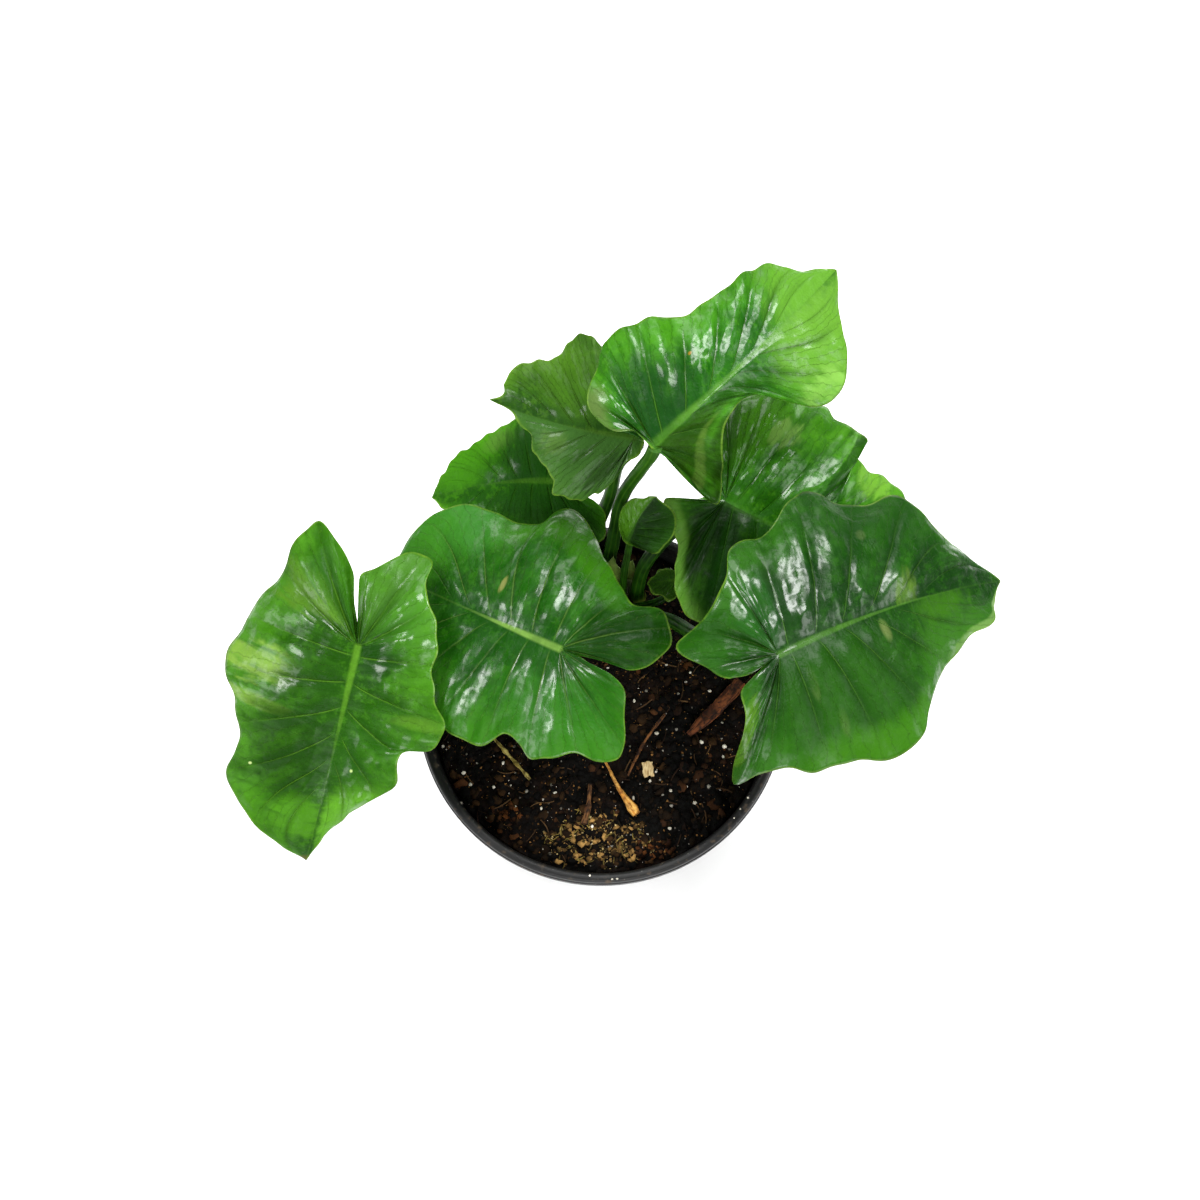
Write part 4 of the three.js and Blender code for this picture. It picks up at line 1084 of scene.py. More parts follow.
class Growth(Tree):
    """A Geometry Nodes tree while it is being made, with its sizes and counts as named inputs."""

    def __init__(self, name, sizes, counts):
        super().__init__(bpy.data.node_groups.new(name, "GeometryNodeTree"))
        face = self.tree.interface
        kinds = {"Geometry": "Geometry", "Material": "Material"}
        kinds.update(dict.fromkeys(sizes, "Float"), **dict.fromkeys(counts, "Int"))
        for label, kind in kinds.items():
            face.new_socket(name=label, in_out="INPUT", socket_type=f"NodeSocket{kind}")
        face.new_socket(name="Geometry", in_out="OUTPUT", socket_type="NodeSocketGeometry")
        given = self.tree.nodes.new("NodeGroupInput").outputs
        self.given = {label: Number(self, given[label]) for label in kinds}

    def scaled(self, vector, factor):
        return self.node("ShaderNodeVectorMath", {"operation": "SCALE"}, {0: vector, "Scale": factor})

    def chance(self, low, high, seed):
        """A different number, or three, for each element, between low and high."""
        kind, first, out = ("FLOAT_VECTOR", 0, 0) if isinstance(low, tuple) else ("FLOAT", 2, 1)
        sockets = {first: low, first + 1: high, "Seed": seed}
        return self.node("FunctionNodeRandomValue", {"data_type": kind}, sockets, out=out)

    def between(self, share, low, high):
        """A share of the way between two of the inputs."""
        return share * (self.given[high] - self.given[low]) + self.given[low]

    def stored(self, geometry, domain, name, value):
        """Keeps a number for each point or instance, for a material to read."""
        settings = {"data_type": "FLOAT", "domain": domain}
        sockets = {"Geometry": geometry, "Name": name, "Value": value}
        return self.node("GeometryNodeStoreNamedAttribute", settings, sockets)

    def lumpy(self, geometry, scale, detail, push):
        """Moves a surface in and out along its normals, by push times a noise of -0.5 to 0.5."""
        lumps = self.node("ShaderNodeTexNoise", {}, {"Scale": scale, "Detail": detail})
        offset = self.scaled(self.node("GeometryNodeInputNormal"), (lumps - 0.5) * push)
        return self.node("GeometryNodeSetPosition", {}, {"Geometry": geometry, "Offset": offset})

    def circle(self, sides, radius):
        sockets = {"Resolution": sides, "Radius": radius}
        return self.node("GeometryNodeCurvePrimitiveCircle", {"mode": "RADIUS"}, sockets)

    def swept(self, path, section, **more):
        """A section carried along a path, with its ends closed."""
        sockets = {"Curve": path, "Profile Curve": section, "Fill Caps": True, **more}
        return self.node("GeometryNodeCurveToMesh", {}, sockets)

    def scattered(self, shape, scale, lean, turn_seed, shade_seed):
        """Sets copies of a shape on random points of the surface, each turned and shaded its own way."""
        spots = self.node("GeometryNodeDistributePointsOnFaces", {"distribute_method": "RANDOM"}, {
            "Mesh": self.given["Geometry"], "Density": self.given["Density"], "Seed": self.given["Seed"],
        })
        turn = self.chance((-lean, -lean, 0.0), (lean, lean, 2 * math.pi), turn_seed)
        turn = self.node("FunctionNodeEulerToRotation", {}, {"Euler": turn})
        copies = self.node("GeometryNodeInstanceOnPoints", {}, {
            "Points": spots, "Instance": shape, "Rotation": turn, "Scale": scale,
        })
        shade = self.chance(0.0, 1.0, shade_seed)
        return self.end(self.stored(copies, "INSTANCE", "shade", shade))

    def end(self, geometry):
        """Realize the instances, set the material and hand the tree over."""
        real = self.node("GeometryNodeRealizeInstances", {}, {"Geometry": geometry})
        smooth = self.node("GeometryNodeSetShadeSmooth", {}, {"Geometry": real})
        sockets = {"Geometry": smooth, "Material": self.given["Material"]}
        leaving = self.tree.nodes.new("NodeGroupOutput")
        self.plug(leaving.inputs["Geometry"], self.node("GeometryNodeSetMaterial", {}, sockets))
        return self.tree


def stem_growth():
    """Sweeps a round section along a path and makes it lumpy."""
    grow = Growth("stem_along_path", ("Lump", "LumpSize"), ("Sides",))
    share = grow.node("GeometryNodeSplineParameter", out="Factor")
    path = grow.node("GeometryNodeMeshToCurve", {}, {"Mesh": grow.given["Geometry"]})
    path = grow.stored(path, "POINT", "share", share)
    section = grow.stored(grow.circle(grow.given["Sides"], 1.0), "POINT", "around", share)
    radius = grow.node("GeometryNodeInputNamedAttribute", {"data_type": "FLOAT"}, {"Name": "radius"})
    stem = grow.swept(path, section, Scale=radius)
    return grow.end(grow.lumpy(stem, 1.0 / grow.given["LumpSize"], 3.0, grow.given["Lump"]))


def grain_growth():
    """Scatters lumpy grains over a surface, each turned and stretched its own way."""
    grow = Growth("grains_on_soil", ("Density", "Smallest", "Largest", "Flatness"), ("Detail", "Seed"))
    ball = grow.node("GeometryNodeMeshIcoSphere", {}, {"Radius": 1.0, "Subdivisions": grow.given["Detail"]})
    ball = grow.lumpy(ball, scale=1.3, detail=2.0, push=1.6)
    size = grow.between(grow.chance(0.0, 1.0, grow.given["Seed"]) ** 2.2, "Smallest", "Largest")
    flat = grow.node("ShaderNodeCombineXYZ", {}, {0: 1.0, 1: 1.0, 2: grow.given["Flatness"]})
    stretch = grow.chance((0.65, 0.65, 0.65), (1.35, 1.1, 1.0), seed=11)
    stretch = grow.node("ShaderNodeVectorMath", {"operation": "MULTIPLY"}, {0: stretch, 1: flat})
    return grow.scattered(ball, grow.scaled(stretch, size), lean=0.5, turn_seed=12, shade_seed=13)


def fibre_growth():
    """Scatters short bent fibres that lie on a surface."""
    grow = Growth("fibres_on_soil", ("Density", "Shortest", "Longest", "Thickness"), ("Seed",))
    bow = grow.node("GeometryNodeCurveQuadraticBezier", {}, {
        "Resolution": 5, "Start": (-1, 0, -0.1), "Middle": (0.2, 0.35, 0.3), "End": (1, -0.15, -0.05),
    })
    hair = grow.swept(bow, grow.circle(5, grow.given["Thickness"]))
    length = grow.between(grow.chance(0.0, 1.0, seed=22), "Shortest", "Longest")
    return grow.scattered(hair, length, lean=0.25, turn_seed=21, shade_seed=23)


def grown(name, base, tree, **values):
    """Runs a tree on a base object and keeps the result as a plain mesh."""
    growth = base.modifiers.new("growth", "NODES")
    growth.node_group = tree
    for item in tree.interface.items_tree:
        if item.in_out == "INPUT" and item.name in values:
            growth[item.identifier] = values[item.name]
    return settled(base, name)


# Leaf blades

def along_leaf(values, t):
    """A value along the leaf, from its value at the lobe, the junction and the tip."""
    lobe, junction, tip = values
    return junction + (np.where(t < 0, lobe, tip) - junction) * smoothstep(np.abs(t))


def place_on_blade(leaf, x, y, lift):
    """Takes points of the flat leaf, lifted off its plane, to where the bent blade holds them."""
    t = np.where(x >= 0, x / leaf.length, x / leaf.lobes)
    curve = not_zero(np.radians(np.where(x >= 0, -leaf.droop / leaf.length, -leaf.back / leaf.lobes)))
    left = y >= 0
    fold = np.radians(np.where(left, along_leaf(leaf.fold_left, t), along_leaf(leaf.fold_right, t)))
    bend = np.where(left, along_leaf(leaf.bend_left, t), along_leaf(leaf.bend_right, t))
    arc = not_zero(np.radians(bend) / leaf.width)
    reach = np.abs(y)
    edge = fold + arc * reach
    rise = (np.cos(fold) - np.cos(edge)) / arc * reach / (reach + FOLD_EASE) + np.cos(edge) * lift
    side = (np.sin(edge) - np.sin(fold)) / arc - np.sin(edge) * lift
    slope = curve * x
    forward = np.sin(slope) / curve - np.sin(slope) * rise
    sideways = np.where(left, side, -side)
    upward = (1 - np.cos(slope)) / curve + np.cos(slope) * rise
    sway = np.radians(leaf.sway) * np.maximum(x, 0) / (2 * leaf.length)
    forward, sideways = turned_by(sway, forward, sideways)
    forward, upward = turned_by(math.radians(leaf.pitch), forward, upward)
    ahead, aside = turned_by(math.radians(leaf.heading), forward, sideways)
    return np.stack([ahead, aside, upward], -1) + np.array(leaf.junction, float)


def turned_by(angle, x, y):
    return x * np.cos(angle) - y * np.sin(angle), x * np.sin(angle) + y * np.cos(angle)


def half_blade(leaf, half, columns, rows, seed):
    """One half as a grid: rows from the midrib out to the margin, columns from the notch to the tip."""
    margin = leaf.left_margin if half > 0 else leaf.right_margin
    rim = even_path([leaf.notch, *margin, leaf.tip], columns)
    u = np.linspace(0, 1, columns + 1)[None, :]
    row = np.linspace(0, 1, rows + 1)[:, None]
    along = np.clip((u - LOBE_SHARE) / (1 - LOBE_SHARE), 0, 1)
    root_x = leaf.length * along
    root_y = leaf.tip[1] * along**2
    reach_x = rim[:, 0] - root_x
    reach_y = rim[:, 1] - root_y
    reach = np.maximum(np.hypot(reach_x, reach_y), TINY)
    stretch = np.ones_like(row * u)
    lift = np.zeros_like(row * u)
    for roll_half, place, width, start, turn in leaf.rolls:
        if roll_half == half:
            near = np.clip(1 - ((u - place) / width) ** 2, 0, 1)
            curl = not_zero(np.radians(turn) * near**2 / ((1 - start) * reach))
            past = np.clip(row - start, 0, None) * reach
            rolled = np.minimum(row, start) * reach + np.sin(curl * past) / curl
            stretch = np.where(row > start, rolled / np.maximum(row * reach, TINY), stretch)
            lift = lift + (1 - np.cos(curl * past)) / curl
    for wave_half, height, count, phase in leaf.waves:
        if wave_half == half:
            ends = np.minimum(np.minimum(u / WAVE_FADE_NOTCH, (1 - u) / WAVE_FADE_TIP), 1)
            lift = lift + height * row**2 * ends * np.sin(math.pi * count * u + math.radians(phase))
    kinks = KINKS if leaf.length > LONG_LEAF else SMALL_KINKS
    ragged = RAGGED * row**4 * swell(kinks * u, 0 * u, KINK_WIDTH, seed)
    ragged = 1 + ragged * np.clip(KINK_REACH / reach, 0, 2.5)
    x = root_x + reach_x * row**VEIN_SWEEP * stretch * ragged
    y = root_y + reach_y * row * stretch * ragged
    names = ("x", "y", "lift", "u", "row", "reach", "along")
    return SimpleNamespace(**dict(zip(names, np.broadcast_arrays(x, y, lift, u, row, reach, along))))


def vein_lane(u, row):
    """Counts veins from 0 to 1 round a half. They leave the midrib near the junction and spread out."""
    spread = np.where(u > LOBE_SHARE, 1 - (1 - VEIN_ROOTS) * (1 - row**VEIN_BOW), 1)
    return LOBE_SHARE + (u - LOBE_SHARE) / spread


def quilt(grid, seed, strength):
    """Tissue puffed up between the sunken veins, most near the junction, flat at the margin."""
    x, y, u, row = grid.x, grid.y, grid.u, grid.row
    across = row * grid.reach
    lane = math.pi * VEINS * vein_lane(u, row)
    room = np.clip(grid.reach / FULL_QUILT_REACH, 0, 1) * smoothstep(across / QUILT_EASE)
    room = room * np.clip((1 - row) / QUILT_MARGIN, 0.2, 1)
    middle = smoothstep(across / 10) * smoothstep((1 - row) / 0.45)
    ridges = np.abs(np.sin(lane)) ** PUCKER_ROUNDNESS * room * (1 + 0.4 * swell(x, y, UNEVEN_SIZE, seed))
    fine = np.abs(np.sin(3 * lane + 0.9 * swell(x, y, FINE_SIZE, seed + 1))) * middle
    lumps = swell(x, y, LUMP_SIZE, seed + 2) * smoothstep(across / 6) * (1 - 0.5 * row)
    cross = np.sin(RIPPLES * math.pi * row + 5 * swell(x, y, RIPPLE_SIZE, seed + 3))
    cross = cross * np.sin(lane) ** 2 * middle
    near_margin = smoothstep((row - CRINKLE_START) / (1 - CRINKLE_START))
    crinkle = swell(CRINKLES * u, 0.6 * row, 1.1, seed + 4) * near_margin
    return strength * (1 - 0.35 * grid.along) * (
        PUCKER * ridges + FINE_PUCKER * fine + LUMPS * lumps + CROSS_RIPPLE * cross + CRINKLE * crinkle
    )


def blade_thickness(grid, strength):
    """Thin tissue with a keel under the midrib and under each vein."""
    across = grid.row * grid.reach
    tissue = MARGIN_THICKNESS + (BLADE_THICKNESS - MARGIN_THICKNESS) * (1 - grid.row**4)
    midrib = MIDRIB_KEEL * (1 - grid.along) * np.exp(-((across / KEEL_WIDTH) ** 2))
    crest = np.abs(np.cos(math.pi * VEINS * vein_lane(grid.u, grid.row))) - 1
    crest = np.exp(crest / VEIN_KEEL_SHARPNESS)
    veins = VEIN_KEEL * strength * crest * smoothstep(across / 4)
    return tissue + midrib + veins * (1 - grid.row)


def closed_faces(corners, same, maps, count):
    """Faces of the top, of the underside and round the edge, and the vein map at their corners."""
    faces, face_maps, edges = [], [], {}
    for corner in corners:
        merged = [(int(same[k]), k) for k in corner]
        merged = [pair for pair, after in zip(merged, merged[1:] + merged[:1]) if pair[0] != after[0]]
        if len(merged) < 3:
            continue
        loop = [v for v, _ in merged]
        faces += [loop, [v + count for v in reversed(loop)]]
        face_maps += [maps[k] for _, k in merged + merged[::-1]]
        for (start, k), (end, m) in zip(merged, merged[1:] + merged[:1]):
            if edges.pop((end, start), None) is None:
                edges[start, end] = (k, m)
    for (start, end), (k, m) in edges.items():
        faces.append([end, start, start + count, end + count])
        face_maps += [maps[m], maps[k], maps[k], maps[m]]
    return faces, face_maps


def blade(name, leaf, columns, rows, seed, pucker):
    """A thin closed blade with its vein map, its distances in millimetres and its underside marked."""
    width = columns + 1
    layers, corners = [], []
    for first, half, strength in zip((0, width * (rows + 1)), (1, -1), pucker):
        grid = half_blade(leaf, half, columns, rows, seed + half)
        lift = grid.lift + quilt(grid, seed, strength)
        under = lift - blade_thickness(grid, strength)
        span = np.hypot(np.gradient(grid.x, axis=1), np.gradient(grid.y, axis=1)) * columns
        layers.append([layer.reshape(-1, layer.shape[-1]) for layer in (
            np.stack([grid.x, grid.y], -1),
            place_on_blade(leaf, grid.x, grid.y, lift),
            place_on_blade(leaf, grid.x, grid.y, under),
            np.stack([grid.row * grid.reach, (1 - grid.row) * grid.reach, span], -1),
            np.stack([half * grid.u, grid.row], -1),
        )])
        for a in (first + j * width + i for j in range(rows) for i in range(columns)):
            corner = (a, a + 1, a + 1 + width, a + width)
            corners.append(corner if half > 0 else corner[::-1])
    flat, tops, unders, reaches, maps = (np.vstack(layer) for layer in zip(*layers))
    _, kept, same = np.unique(np.round(flat, 3), axis=0, return_index=True, return_inverse=True)
    count = len(kept)
    faces, face_maps = closed_faces(corners, same.ravel(), maps, count)
    piece = mesh_object(name, np.vstack([tops[kept], unders[kept]]), faces)
    layer = piece.data.uv_layers.new(name="vein_map")
    layer.data.foreach_set("uv", np.asarray(face_maps, np.float32).ravel())
    point_values(piece, "blade_reach", np.vstack([reaches[kept]] * 2))
    point_values(piece, "underside", np.repeat([0, 1], count))
    return piece


# Stalks, and leaves as a whole

def stalk_path(leaf):
    """A stalk leaves the crown upright and arches over to meet the blade from below."""
    one, none = np.array([1.0]), np.array([0.0])
    junction = np.array(leaf.junction, float)
    forward = place_on_blade(leaf, one, none, none)[0] - junction
    forward /= np.linalg.norm(forward)
    level = np.array([forward[1], -forward[0], 0])
    down = np.cross(forward, level / np.linalg.norm(level))
    down = -down if down[2] > 0 else down
    arrival = -down + ARRIVAL_LEAN * forward
    arrival /= np.linalg.norm(arrival)
    end = junction + STALK_SEAT * down
    start = ring(leaf.stalk_circle, np.radians(leaf.crown_angle), CROWN_TOP + CLEARANCE) + (*CROWN, 0)
    return [
        start - [0, 0, STALK_FOOT_DEPTH],
        start + [0, 0, STALK_RISE],
        *leaf.stalk_path,
        end - STALK_ARRIVAL * arrival,
        end,
    ]


def stem(name, tree, points, radii, steps, sides, lump, lump_size, material):
    """A round stem swept along a smooth path, with its radius given from end to end."""
    base = mesh_object(name, even_path(points, steps), [], [(i, i + 1) for i in range(steps)])
    stops = np.linspace(0, 1, len(radii))
    point_values(base, "radius", np.interp(np.linspace(0, 1, steps + 1), stops, radii) * MM)
    return grown(
        name, base, tree, Sides=sides, Lump=lump * MM, LumpSize=lump_size * MM, Material=material,
    )


def make_leaves(stem_tree):
    stalk_coat = stalk_finish()
    for number, leaf in enumerate(LEAVES):
        look = LOOKS[leaf.name]
        grid = SMALL_GRID if leaf.small else LEAF_GRID
        seed = LEAF_SEED + SEEDS_PER_LEAF * number
        piece = blade(f"leaf_{leaf.name}", leaf, *grid, seed, look.pucker)
        piece.data.materials.append(LeafFinish(leaf.name, look).whole())
        hand_over(piece, leaf.slot, f"blade_{leaf.name}")
        slim = SMALL_STALK_SHARE if leaf.small else 1
        radii = slim * np.linspace(STALK_BASE_RADIUS, STALK_TOP_RADIUS, STALK_STEPS // 2)
        radii[:3] *= STALK_FOOT_FLARE
        radii[-2:] *= STALK_TOP_FLARE
        piece = stem(
            f"petiole_{leaf.name}", stem_tree, stalk_path(leaf), radii, STALK_STEPS, STALK_SIDES,
            STALK_LUMP, STALK_LUMP_SIZE, stalk_coat,
        )
        hand_over(piece, "stalk", f"stalk_{leaf.name}")


def make_sheaths():
    coat = sheath_finish()
    fold, bend = (-15, -15, -10), (-40, -40, -20)
    for number, (name, foot, heading, pitch, length, width) in enumerate(SHEATHS):
        leaf = Leaf(
            name=name, junction=(*foot, SHEATH_FOOT), heading=heading, pitch=pitch, droop=8,
            fold_left=fold, fold_right=fold, bend_left=bend, bend_right=bend,
            notch=(-0.8, 0), tip=(length, 0),
            left_margin=[(0, width), (0.45 * length, 0.9 * width)],
            right_margin=[(0, -width), (0.45 * length, -0.9 * width)],
        )
        piece = blade(f"dry_{name}", leaf, *SHEATH_GRID, SHEATH_SEED + number, SHEATH_PUCKER)
        piece.data.materials.append(coat)
        hand_over(piece, "sheath", name)


# Pot and crown

def shell_faces(rings, segments):
    """Faces of a body turned up from its foot: a point, rings of points, a point."""
    last = 1 + rings * segments
    faces = []
    for k in range(segments):
        after = (k + 1) % segments
        faces.append([0, 1 + after, 1 + k])
        for a in range(1, last - segments, segments):
            faces.append([a + k, a + after, a + segments + after, a + segments + k])
        faces.append([last, last - segments + k, last - segments + after])
    return faces


def turned(name, profile, segments):
    """A profile of (radius, height) turned round the upright axis; it starts and ends on it."""
    angles = circle(segments)
    rings = [ring(radius, angles, height) for radius, height in profile[1:-1]]
    points = np.vstack([[[0, 0, profile[0][1]]], *rings, [[0, 0, profile[-1][1]]]])
    return mesh_object(name, points, shell_faces(len(rings), segments))


def rounded(corners, steps=5):
    """Rounds each (radius, height, fillet) corner of a profile with an arc."""
    made = []
    for k, (x, z, fillet) in enumerate(corners):
        if fillet == 0 or k in (0, len(corners) - 1):
            made.append((x, z))
            continue
        here = np.array([x, z], float)
        back = np.array(corners[k - 1][:2], float) - here
        on = np.array(corners[k + 1][:2], float) - here
        back, on = back / np.linalg.norm(back), on / np.linalg.norm(on)
        half = math.acos(np.clip(back @ on, -1, 1)) / 2
        cut = fillet / math.tan(half)
        centre = here + (back + on) / np.linalg.norm(back + on) * fillet / math.sin(half)
        start, end = here + back * cut - centre, here + on * cut - centre
        turn = math.pi - 2 * half
        for w in np.linspace(0, 1, steps + 1):
            arm = math.sin((1 - w) * turn) * start + math.sin(w * turn) * end
            made.append(tuple(centre + arm / math.sin(turn)))
    return made


def make_pot():
    wall_top = POT_HEIGHT - LIP_DEPTH
    inner = LIP_RADIUS - LIP_WIDTH
    foot_inset, foot_rise = 2.6, 0.6
    # Corners from the middle of the foot, up the wall and round the lip, to the floor inside
    profile = rounded([
        (0, 0, 0), (BASE_RADIUS - 3, 0, 0.4), (BASE_RADIUS - foot_inset, foot_rise, 0.3),
        (BASE_RADIUS, foot_rise, 1.2), (inner + WALL, wall_top, 0.8), (LIP_RADIUS - 0.3, wall_top, 0.7),
        (LIP_RADIUS, POT_HEIGHT - 1.9, 0.4), (LIP_RADIUS - 0.35, POT_HEIGHT - 1.7, 0.2),
        (LIP_RADIUS - 0.45, POT_HEIGHT, 1.0), (inner, POT_HEIGHT, 1.2), (inner, wall_top, 0.6),
        (BASE_RADIUS - WALL, FLOOR, 1.0), (0, FLOOR, 0),
    ])
    pot = turned("pot_blank", profile, POT_SEGMENTS)
    cutters = bmesh.new()
    for i in range(DRAIN_HOLES):
        angle = (i + 0.5) * 2 * math.pi / DRAIN_HOLES
        made = bmesh.ops.create_cone(
            cutters, cap_ends=True, segments=32, radius1=DRAIN_RADIUS * MM, radius2=DRAIN_RADIUS * MM,
            depth=DRAIN_CUT * MM,
        )
        bmesh.ops.translate(cutters, verts=made["verts"], vec=Vector(ring(DRAIN_CIRCLE, angle, 0)) * MM)
    holes = bmesh_object("drain_cutters", cutters)
    cut = pot.modifiers.new("drain", "BOOLEAN")
    cut.object = holes
    cut.operation = "DIFFERENCE"
    cut.solver = "EXACT"
    pot = settled(pot, "nursery_pot")
    bpy.data.objects.remove(holes)
    pot.data.materials.append(pot_finish())
    hand_over(pot, "pot_plastic", "pot")


def make_crown():
    """The short stem: a low lumpy dome ringed with leaf scars."""
    crown = turned("crown_stem", CROWN_PROFILE, CROWN_SEGMENTS)
    for vertex in crown.data.vertices:
        x, y, z = vertex.co / MM
        angle = math.atan2(y, x)
        radius = math.hypot(x, y)
        scar = 0.45 * math.sin(2.6 * z + 1.4 * math.sin(angle * 3)) + 0.5 * math.sin(5 * angle + 0.3 * z)
        grow = 0.97 + 0.045 * scar
        lump = 0.25 * math.sin(radius * 1.7)
        vertex.co = Vector((x * grow + CROWN[0], y * grow + CROWN[1], z + lump)) * MM
    crown.data.materials.append(crown_finish())
    hand_over(crown, "crown", "crown")


# Soil and what lies on it

def soil_height(x, y):
    """The even top of the soil, as the solid has it."""
    rise = 0.9 * np.sin(0.16 * x + 0.6) * np.cos(0.13 * y - 0.4) + 0.45 * np.sin(0.34 * x - 0.27 * y)
    dip = SOIL_EDGE_DIP * np.exp(-np.maximum(SOIL_EDGE - np.hypot(x, y), 0) / SOIL_EDGE_BLEND)
    return SOIL_LEVEL + rise - dip


def crumbly_height(x, y):
    """The soil's top with its crumbs and hollows."""
    rough = sum(height * crumbs(x, y, cell, seed) for height, cell, seed in CRUMBS)
    return soil_height(x, y) - CRUMB_DEPTH + rough + 0.5 * swell(x, y, 9, 4)


def make_soil():
    """The filled soil as one closed body with a crumbly top; returned for the grains to lie on."""
    share = np.linspace(0, 1, SOIL_RINGS + 1)[1:]
    angles = circle(SOIL_SEGMENTS)
    x = (SOIL_EDGE * share[:, None] * np.cos(angles)).ravel()
    y = (SOIL_EDGE * share[:, None] * np.sin(angles)).ravel()
    top = np.stack([x, y, crumbly_height(x, y)], -1)
    bottom = FLOOR + CLEARANCE
    foot = ring(BASE_RADIUS - WALL - CLEARANCE, angles, bottom)
    points = np.vstack([[[0, 0, height_at(crumbly_height, 0, 0)]], top, foot, [[0, 0, bottom]]])
    # These points run from the top down, so each face goes round the other way
    faces = [[first, *reversed(rest)] for first, *rest in shell_faces(SOIL_RINGS + 1, SOIL_SEGMENTS)]
    soil = mesh_object("potting_soil", points, faces)
    soil.data.materials.append(soil_finish())
    hand_over(soil, "soil", "soil")
    return soil


def soil_patch(soil, keep):
    """The top of the soil where keep(x, y) holds, in millimetres, to scatter on."""
    work = bmesh.new()
    work.from_mesh(soil.data)
    gone = []
    for face in work.faces:
        middle = face.calc_center_median() / MM
        if face.normal.z < 0.1 or middle.z < SOIL_LEVEL - SOIL_TOP_DEPTH or not keep(middle.x, middle.y):
            gone.append(face)
    bmesh.ops.delete(work, geom=gone, context="FACES")
    return bmesh_object("patch", work)


def whole(x, y):
    return math.hypot(x, y) < COVER_EDGE


def from_middle(x, y, patch):
    """0 at the middle of an oval patch, 1 at its edge."""
    middle_x, middle_y, half_x, half_y = patch
    return math.hypot((x - middle_x) / half_x, (y - middle_y) / half_y)


def mossy(x, y):
    """The ragged patch of moss at the front."""
    ragged = 0.22 * math.sin(x * 0.9 + y * 0.5) + 0.16 * math.sin(x * 0.4 - y * 1.3)
    return from_middle(x, y, MOSS) + ragged < 1 and whole(x, y)


def barky(x, y):
    return any(from_middle(x, y, heap) < 1 for heap in BARK_HEAPS)


# What is scattered: name, area, slot, finish (dark, light, roughness, what differs) and the inputs
# of its tree. Density is a number per square metre. Grains have radii; fibres have half lengths,
# and their thickness is a share of these.
GRAINS = [
    ("soil_crumbs", whole, "soil", ("#030201", "#34220f", 0.95, {"start": 0.45}),
     (2.3e5, 0.35, 1.5, 0.8, 2, 3)),
    ("tan_grit", whole, "brown_wood", ("#2a1707", "#a07440", 0.9, {"dip_shade": 0.5}),
     (1.9e5, 0.1, 0.45, 0.8, 1, 31)),
    ("perlite_grains", whole, "soil", ("#4a463e", "#e0dacc", 0.9, {"size": 0.3, "relief": 0.1}),
     (5.5e4, 0.08, 0.55, 0.9, 2, 8)),
    ("bark_flakes", whole, "brown_wood", ("#0d0603", "#4a2c14", 0.85, {"start": 0.1, "dip_shade": 0.6}),
     (2.4e4, 0.6, 2.1, 0.3, 2, 15)),
    ("moss_flakes", mossy, "soil", ("#241808", "#a68048", 0.9, {"dip_shade": 0.2}),
     (6e5, 0.3, 1.4, 0.35, 1, 5)),
    ("moss_dust", mossy, "soil", ("#4c3c20", "#d2b87c", 0.9, {"dip_shade": 0.2}),
     (6e5, 0.1, 0.5, 0.6, 1, 35)),
    ("rust_flakes", barky, "brown_wood", ("#1c0d05", "#5e3617", 0.85, {}),
     (9e5, 0.4, 1.5, 0.35, 1, 6)),
]
FIBRES = [
    ("root_fibres", whole, "tan_root", ("#20130a", "#6c5234", 0.85, {}),
     (2.0e4, 0.9, 4.2, 0.05, 9)),
    ("moss_strands", mossy, "tan_root", ("#1c1508", "#94803f", 0.85, {"start": 0.35, "dip_shade": 0.3}),
     (4.5e5, 0.5, 1.9, 0.11, 19)),
]


GRAIN_INPUTS = ("Density", "Smallest", "Largest", "Flatness", "Detail", "Seed")
FIBRE_INPUTS = ("Density", "Shortest", "Longest", "Thickness", "Seed")
LENGTHS = {"Smallest", "Largest", "Shortest", "Longest"}


def scatter(soil, tree, covers, inputs):
    for name, keep, slot, (dark, light, rough, changes), sizes in covers:
        values = {label: size * MM if label in LENGTHS else size for label, size in zip(inputs, sizes)}
        coat = grain_finish(name, dark, light, rough, **changes)
        piece = grown(name, soil_patch(soil, keep), tree, Material=coat, **values)
        hand_over(piece, slot)


def make_soil_cover(soil):
    """Crumbs, perlite, flakes, fibres and moss that lie on the soil."""
    grains, fibres = grain_growth(), fibre_growth()
    scatter(soil, grains, GRAINS, GRAIN_INPUTS)
    scatter(soil, fibres, FIBRES, FIBRE_INPUTS)


def lumpy_ball(work, centre, radius, seed):
    """One perlite grain of a few dozen faces."""
    rng = np.random.default_rng(seed)
    made = bmesh.ops.create_icosphere(work, subdivisions=2, radius=1)
    stretch = rng.uniform(0.6, 1.25, 3) * radius * GRAIN_SHARE
    for vertex in made["verts"]:
        bulge = rng.uniform(0.72, 1.16)
        vertex.co = Vector(vertex.co[i] * stretch[i] * bulge * MM for i in range(3))
        vertex.co += Vector(centre) * MM


def make_large_grains():
    work = bmesh.new()
    for seed, (x, y, radius) in enumerate(LARGE_GRAINS):
        lumpy_ball(work, (x, y, height_at(crumbly_height, x, y) + 0.45 * radius), radius, seed)
    for seed, (x, y) in enumerate(LIP_GRAINS):
        lumpy_ball(work, (x, y, POT_HEIGHT + 0.1), LIP_GRAIN_RADIUS, LIP_GRAIN_SEED + seed)
    coat = grain_finish("perlite_large", "#a59f90", "#e6e0d0", 0.9, size=0.4, relief=0.15)
    piece = bmesh_object("large_perlite", work)
    point_values(piece, "shade", np.full(len(piece.data.vertices), GRAIN_SHADE))
    piece.data.materials.append(coat)
    hand_over(piece, "soil")


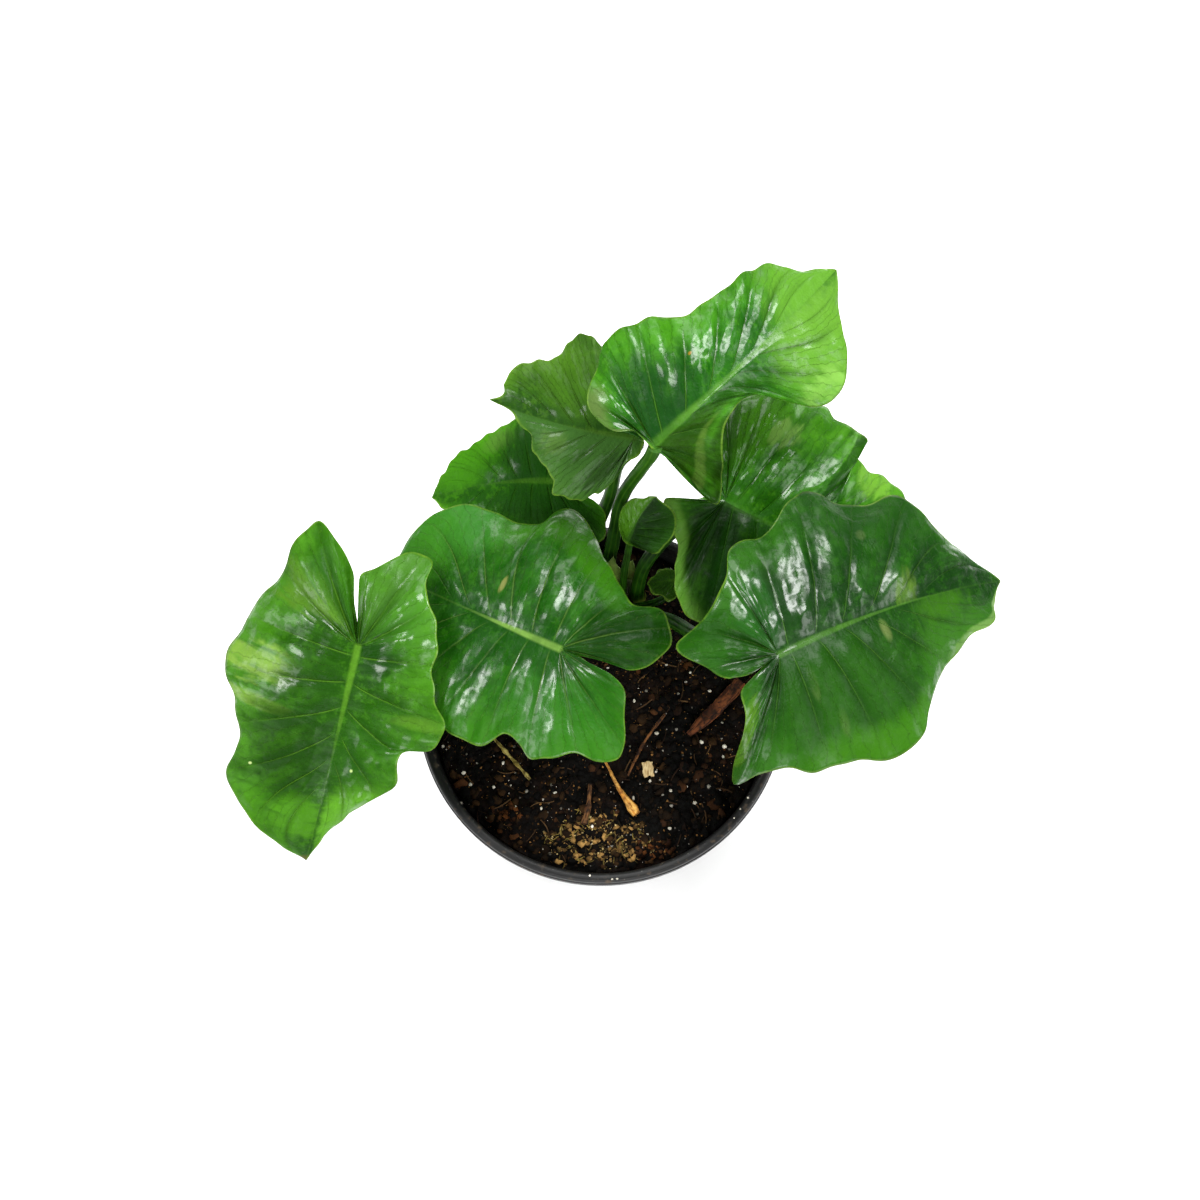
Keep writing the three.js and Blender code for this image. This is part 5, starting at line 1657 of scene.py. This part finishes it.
def make_litter(stem_tree):
    for item in LITTER:
        path = np.array(item["path"], float)
        clear = item["flatten"] * max(item["radii"]) + LITTER_GAP
        points = np.column_stack([path, soil_height(path[:, 0], path[:, 1]) + clear])
        piece = stem(
            f"loose_{item['name']}", stem_tree, points, item["radii"], LITTER_STEPS, LITTER_SIDES,
            item["lump"], LITTER_LUMP_SIZE, bark_finish(*item["finish"]),
        )
        if item["flatten"] < 1:
            flatten(piece, item["flatten"], points)
        hand_over(piece, item["slot"], item["name"])


def flatten(piece, share, points):
    """Presses a stem flat about its own path."""
    path = even_path(points, LITTER_STEPS) * MM
    for vertex in piece.data.vertices:
        nearest = path[np.argmin(np.hypot(path[:, 0] - vertex.co.x, path[:, 1] - vertex.co.y))]
        vertex.co.z = nearest[2] + (vertex.co.z - nearest[2]) * share


def make_chip():
    """A split chip of pale wood, square with broken edges."""
    work = bmesh.new()
    bmesh.ops.create_cube(work, size=1)
    bmesh.ops.subdivide_edges(work, edges=work.edges[:], cuts=CHIP_CUTS, use_grid_fill=True)
    level = height_at(soil_height, *CHIP_PLACE) + CHIP_SIZE[2] / 2 + LITTER_GAP
    rng = np.random.default_rng(CHIP_SEED)
    for vertex in work.verts:
        x, y, z = (vertex.co[i] * CHIP_SIZE[i] for i in range(3))
        x += 0.12 * math.sin(2.9 * y + 0.6) + rng.uniform(-0.03, 0.03)
        y += 0.2 * math.sin(3.1 * x + 1) * abs(vertex.co.y) * 2 + rng.uniform(-0.04, 0.04)
        z += 0.12 * math.sin(3.7 * x) + rng.uniform(-0.03, 0.03)
        x, y = turned_by(math.radians(CHIP_TURN), x, y)
        vertex.co = Vector((x + CHIP_PLACE[0], y + CHIP_PLACE[1], z + level)) * MM
    sharp = [edge for edge in work.edges if edge.calc_face_angle(0) > 0.9]
    bmesh.ops.bevel(work, geom=sharp, offset=CHIP_BEVEL * MM, segments=2, affect="EDGES")
    chip = bmesh_object("loose_wood_chip", work)
    chip.data.materials.append(chip_finish())
    hand_over(chip, "pale_wood", "wood_chip")


# Stage, light and camera

def make_stage():
    square = [[-1, -1, 0], [1, -1, 0], [1, 1, 0], [-1, 1, 0]]
    floor = mesh_object("floor", np.array(square) * PAPER_REACH, [[0, 1, 2, 3]])
    paper = Finish("floor_paper", {
        "Base Color": (0.99, 0.99, 0.99, 1), "Roughness": 0.9, "Specular IOR Level": 0.1,
    })
    floor.data.materials.append(paper.material)


def make_light():
    for name, place, size, power in LIGHTS:
        data = bpy.data.lights.new(name, "AREA")
        data.shape = "SQUARE"
        data.size = size
        data.energy = power
        light = in_scene(name, data)
        light.location = place
        light.rotation_euler = (Vector(LIGHT_TARGET) - Vector(place)).to_track_quat("-Z", "Y").to_euler()
    world = bpy.data.worlds.new("studio")
    world.use_nodes = True
    background = world.node_tree.nodes["Background"]
    background.inputs["Color"].default_value = (1, 1, 1, 1)
    background.inputs["Strength"].default_value = WORLD_STRENGTH
    bpy.context.scene.world = world
    bpy.context.scene.view_settings.view_transform = "Standard"


def make_camera():
    data = bpy.data.cameras.new("camera")
    data.sensor_width = SENSOR
    data.lens = LENS
    data.clip_start = 0.01
    camera = in_scene("camera", data)
    camera.location = Vector(CAMERA_PLACE) * MM
    camera.rotation_euler = (math.radians(90 - LOOKS_DOWN), 0, 0)
    bpy.context.scene.camera = camera


make_camera()
make_light()
make_stage()
stems = stem_growth()
make_leaves(stems)
make_sheaths()
make_pot()
make_crown()
make_soil_cover(make_soil())
make_large_grains()
make_litter(stems)
make_chip()

bpy.context.view_layer.update()
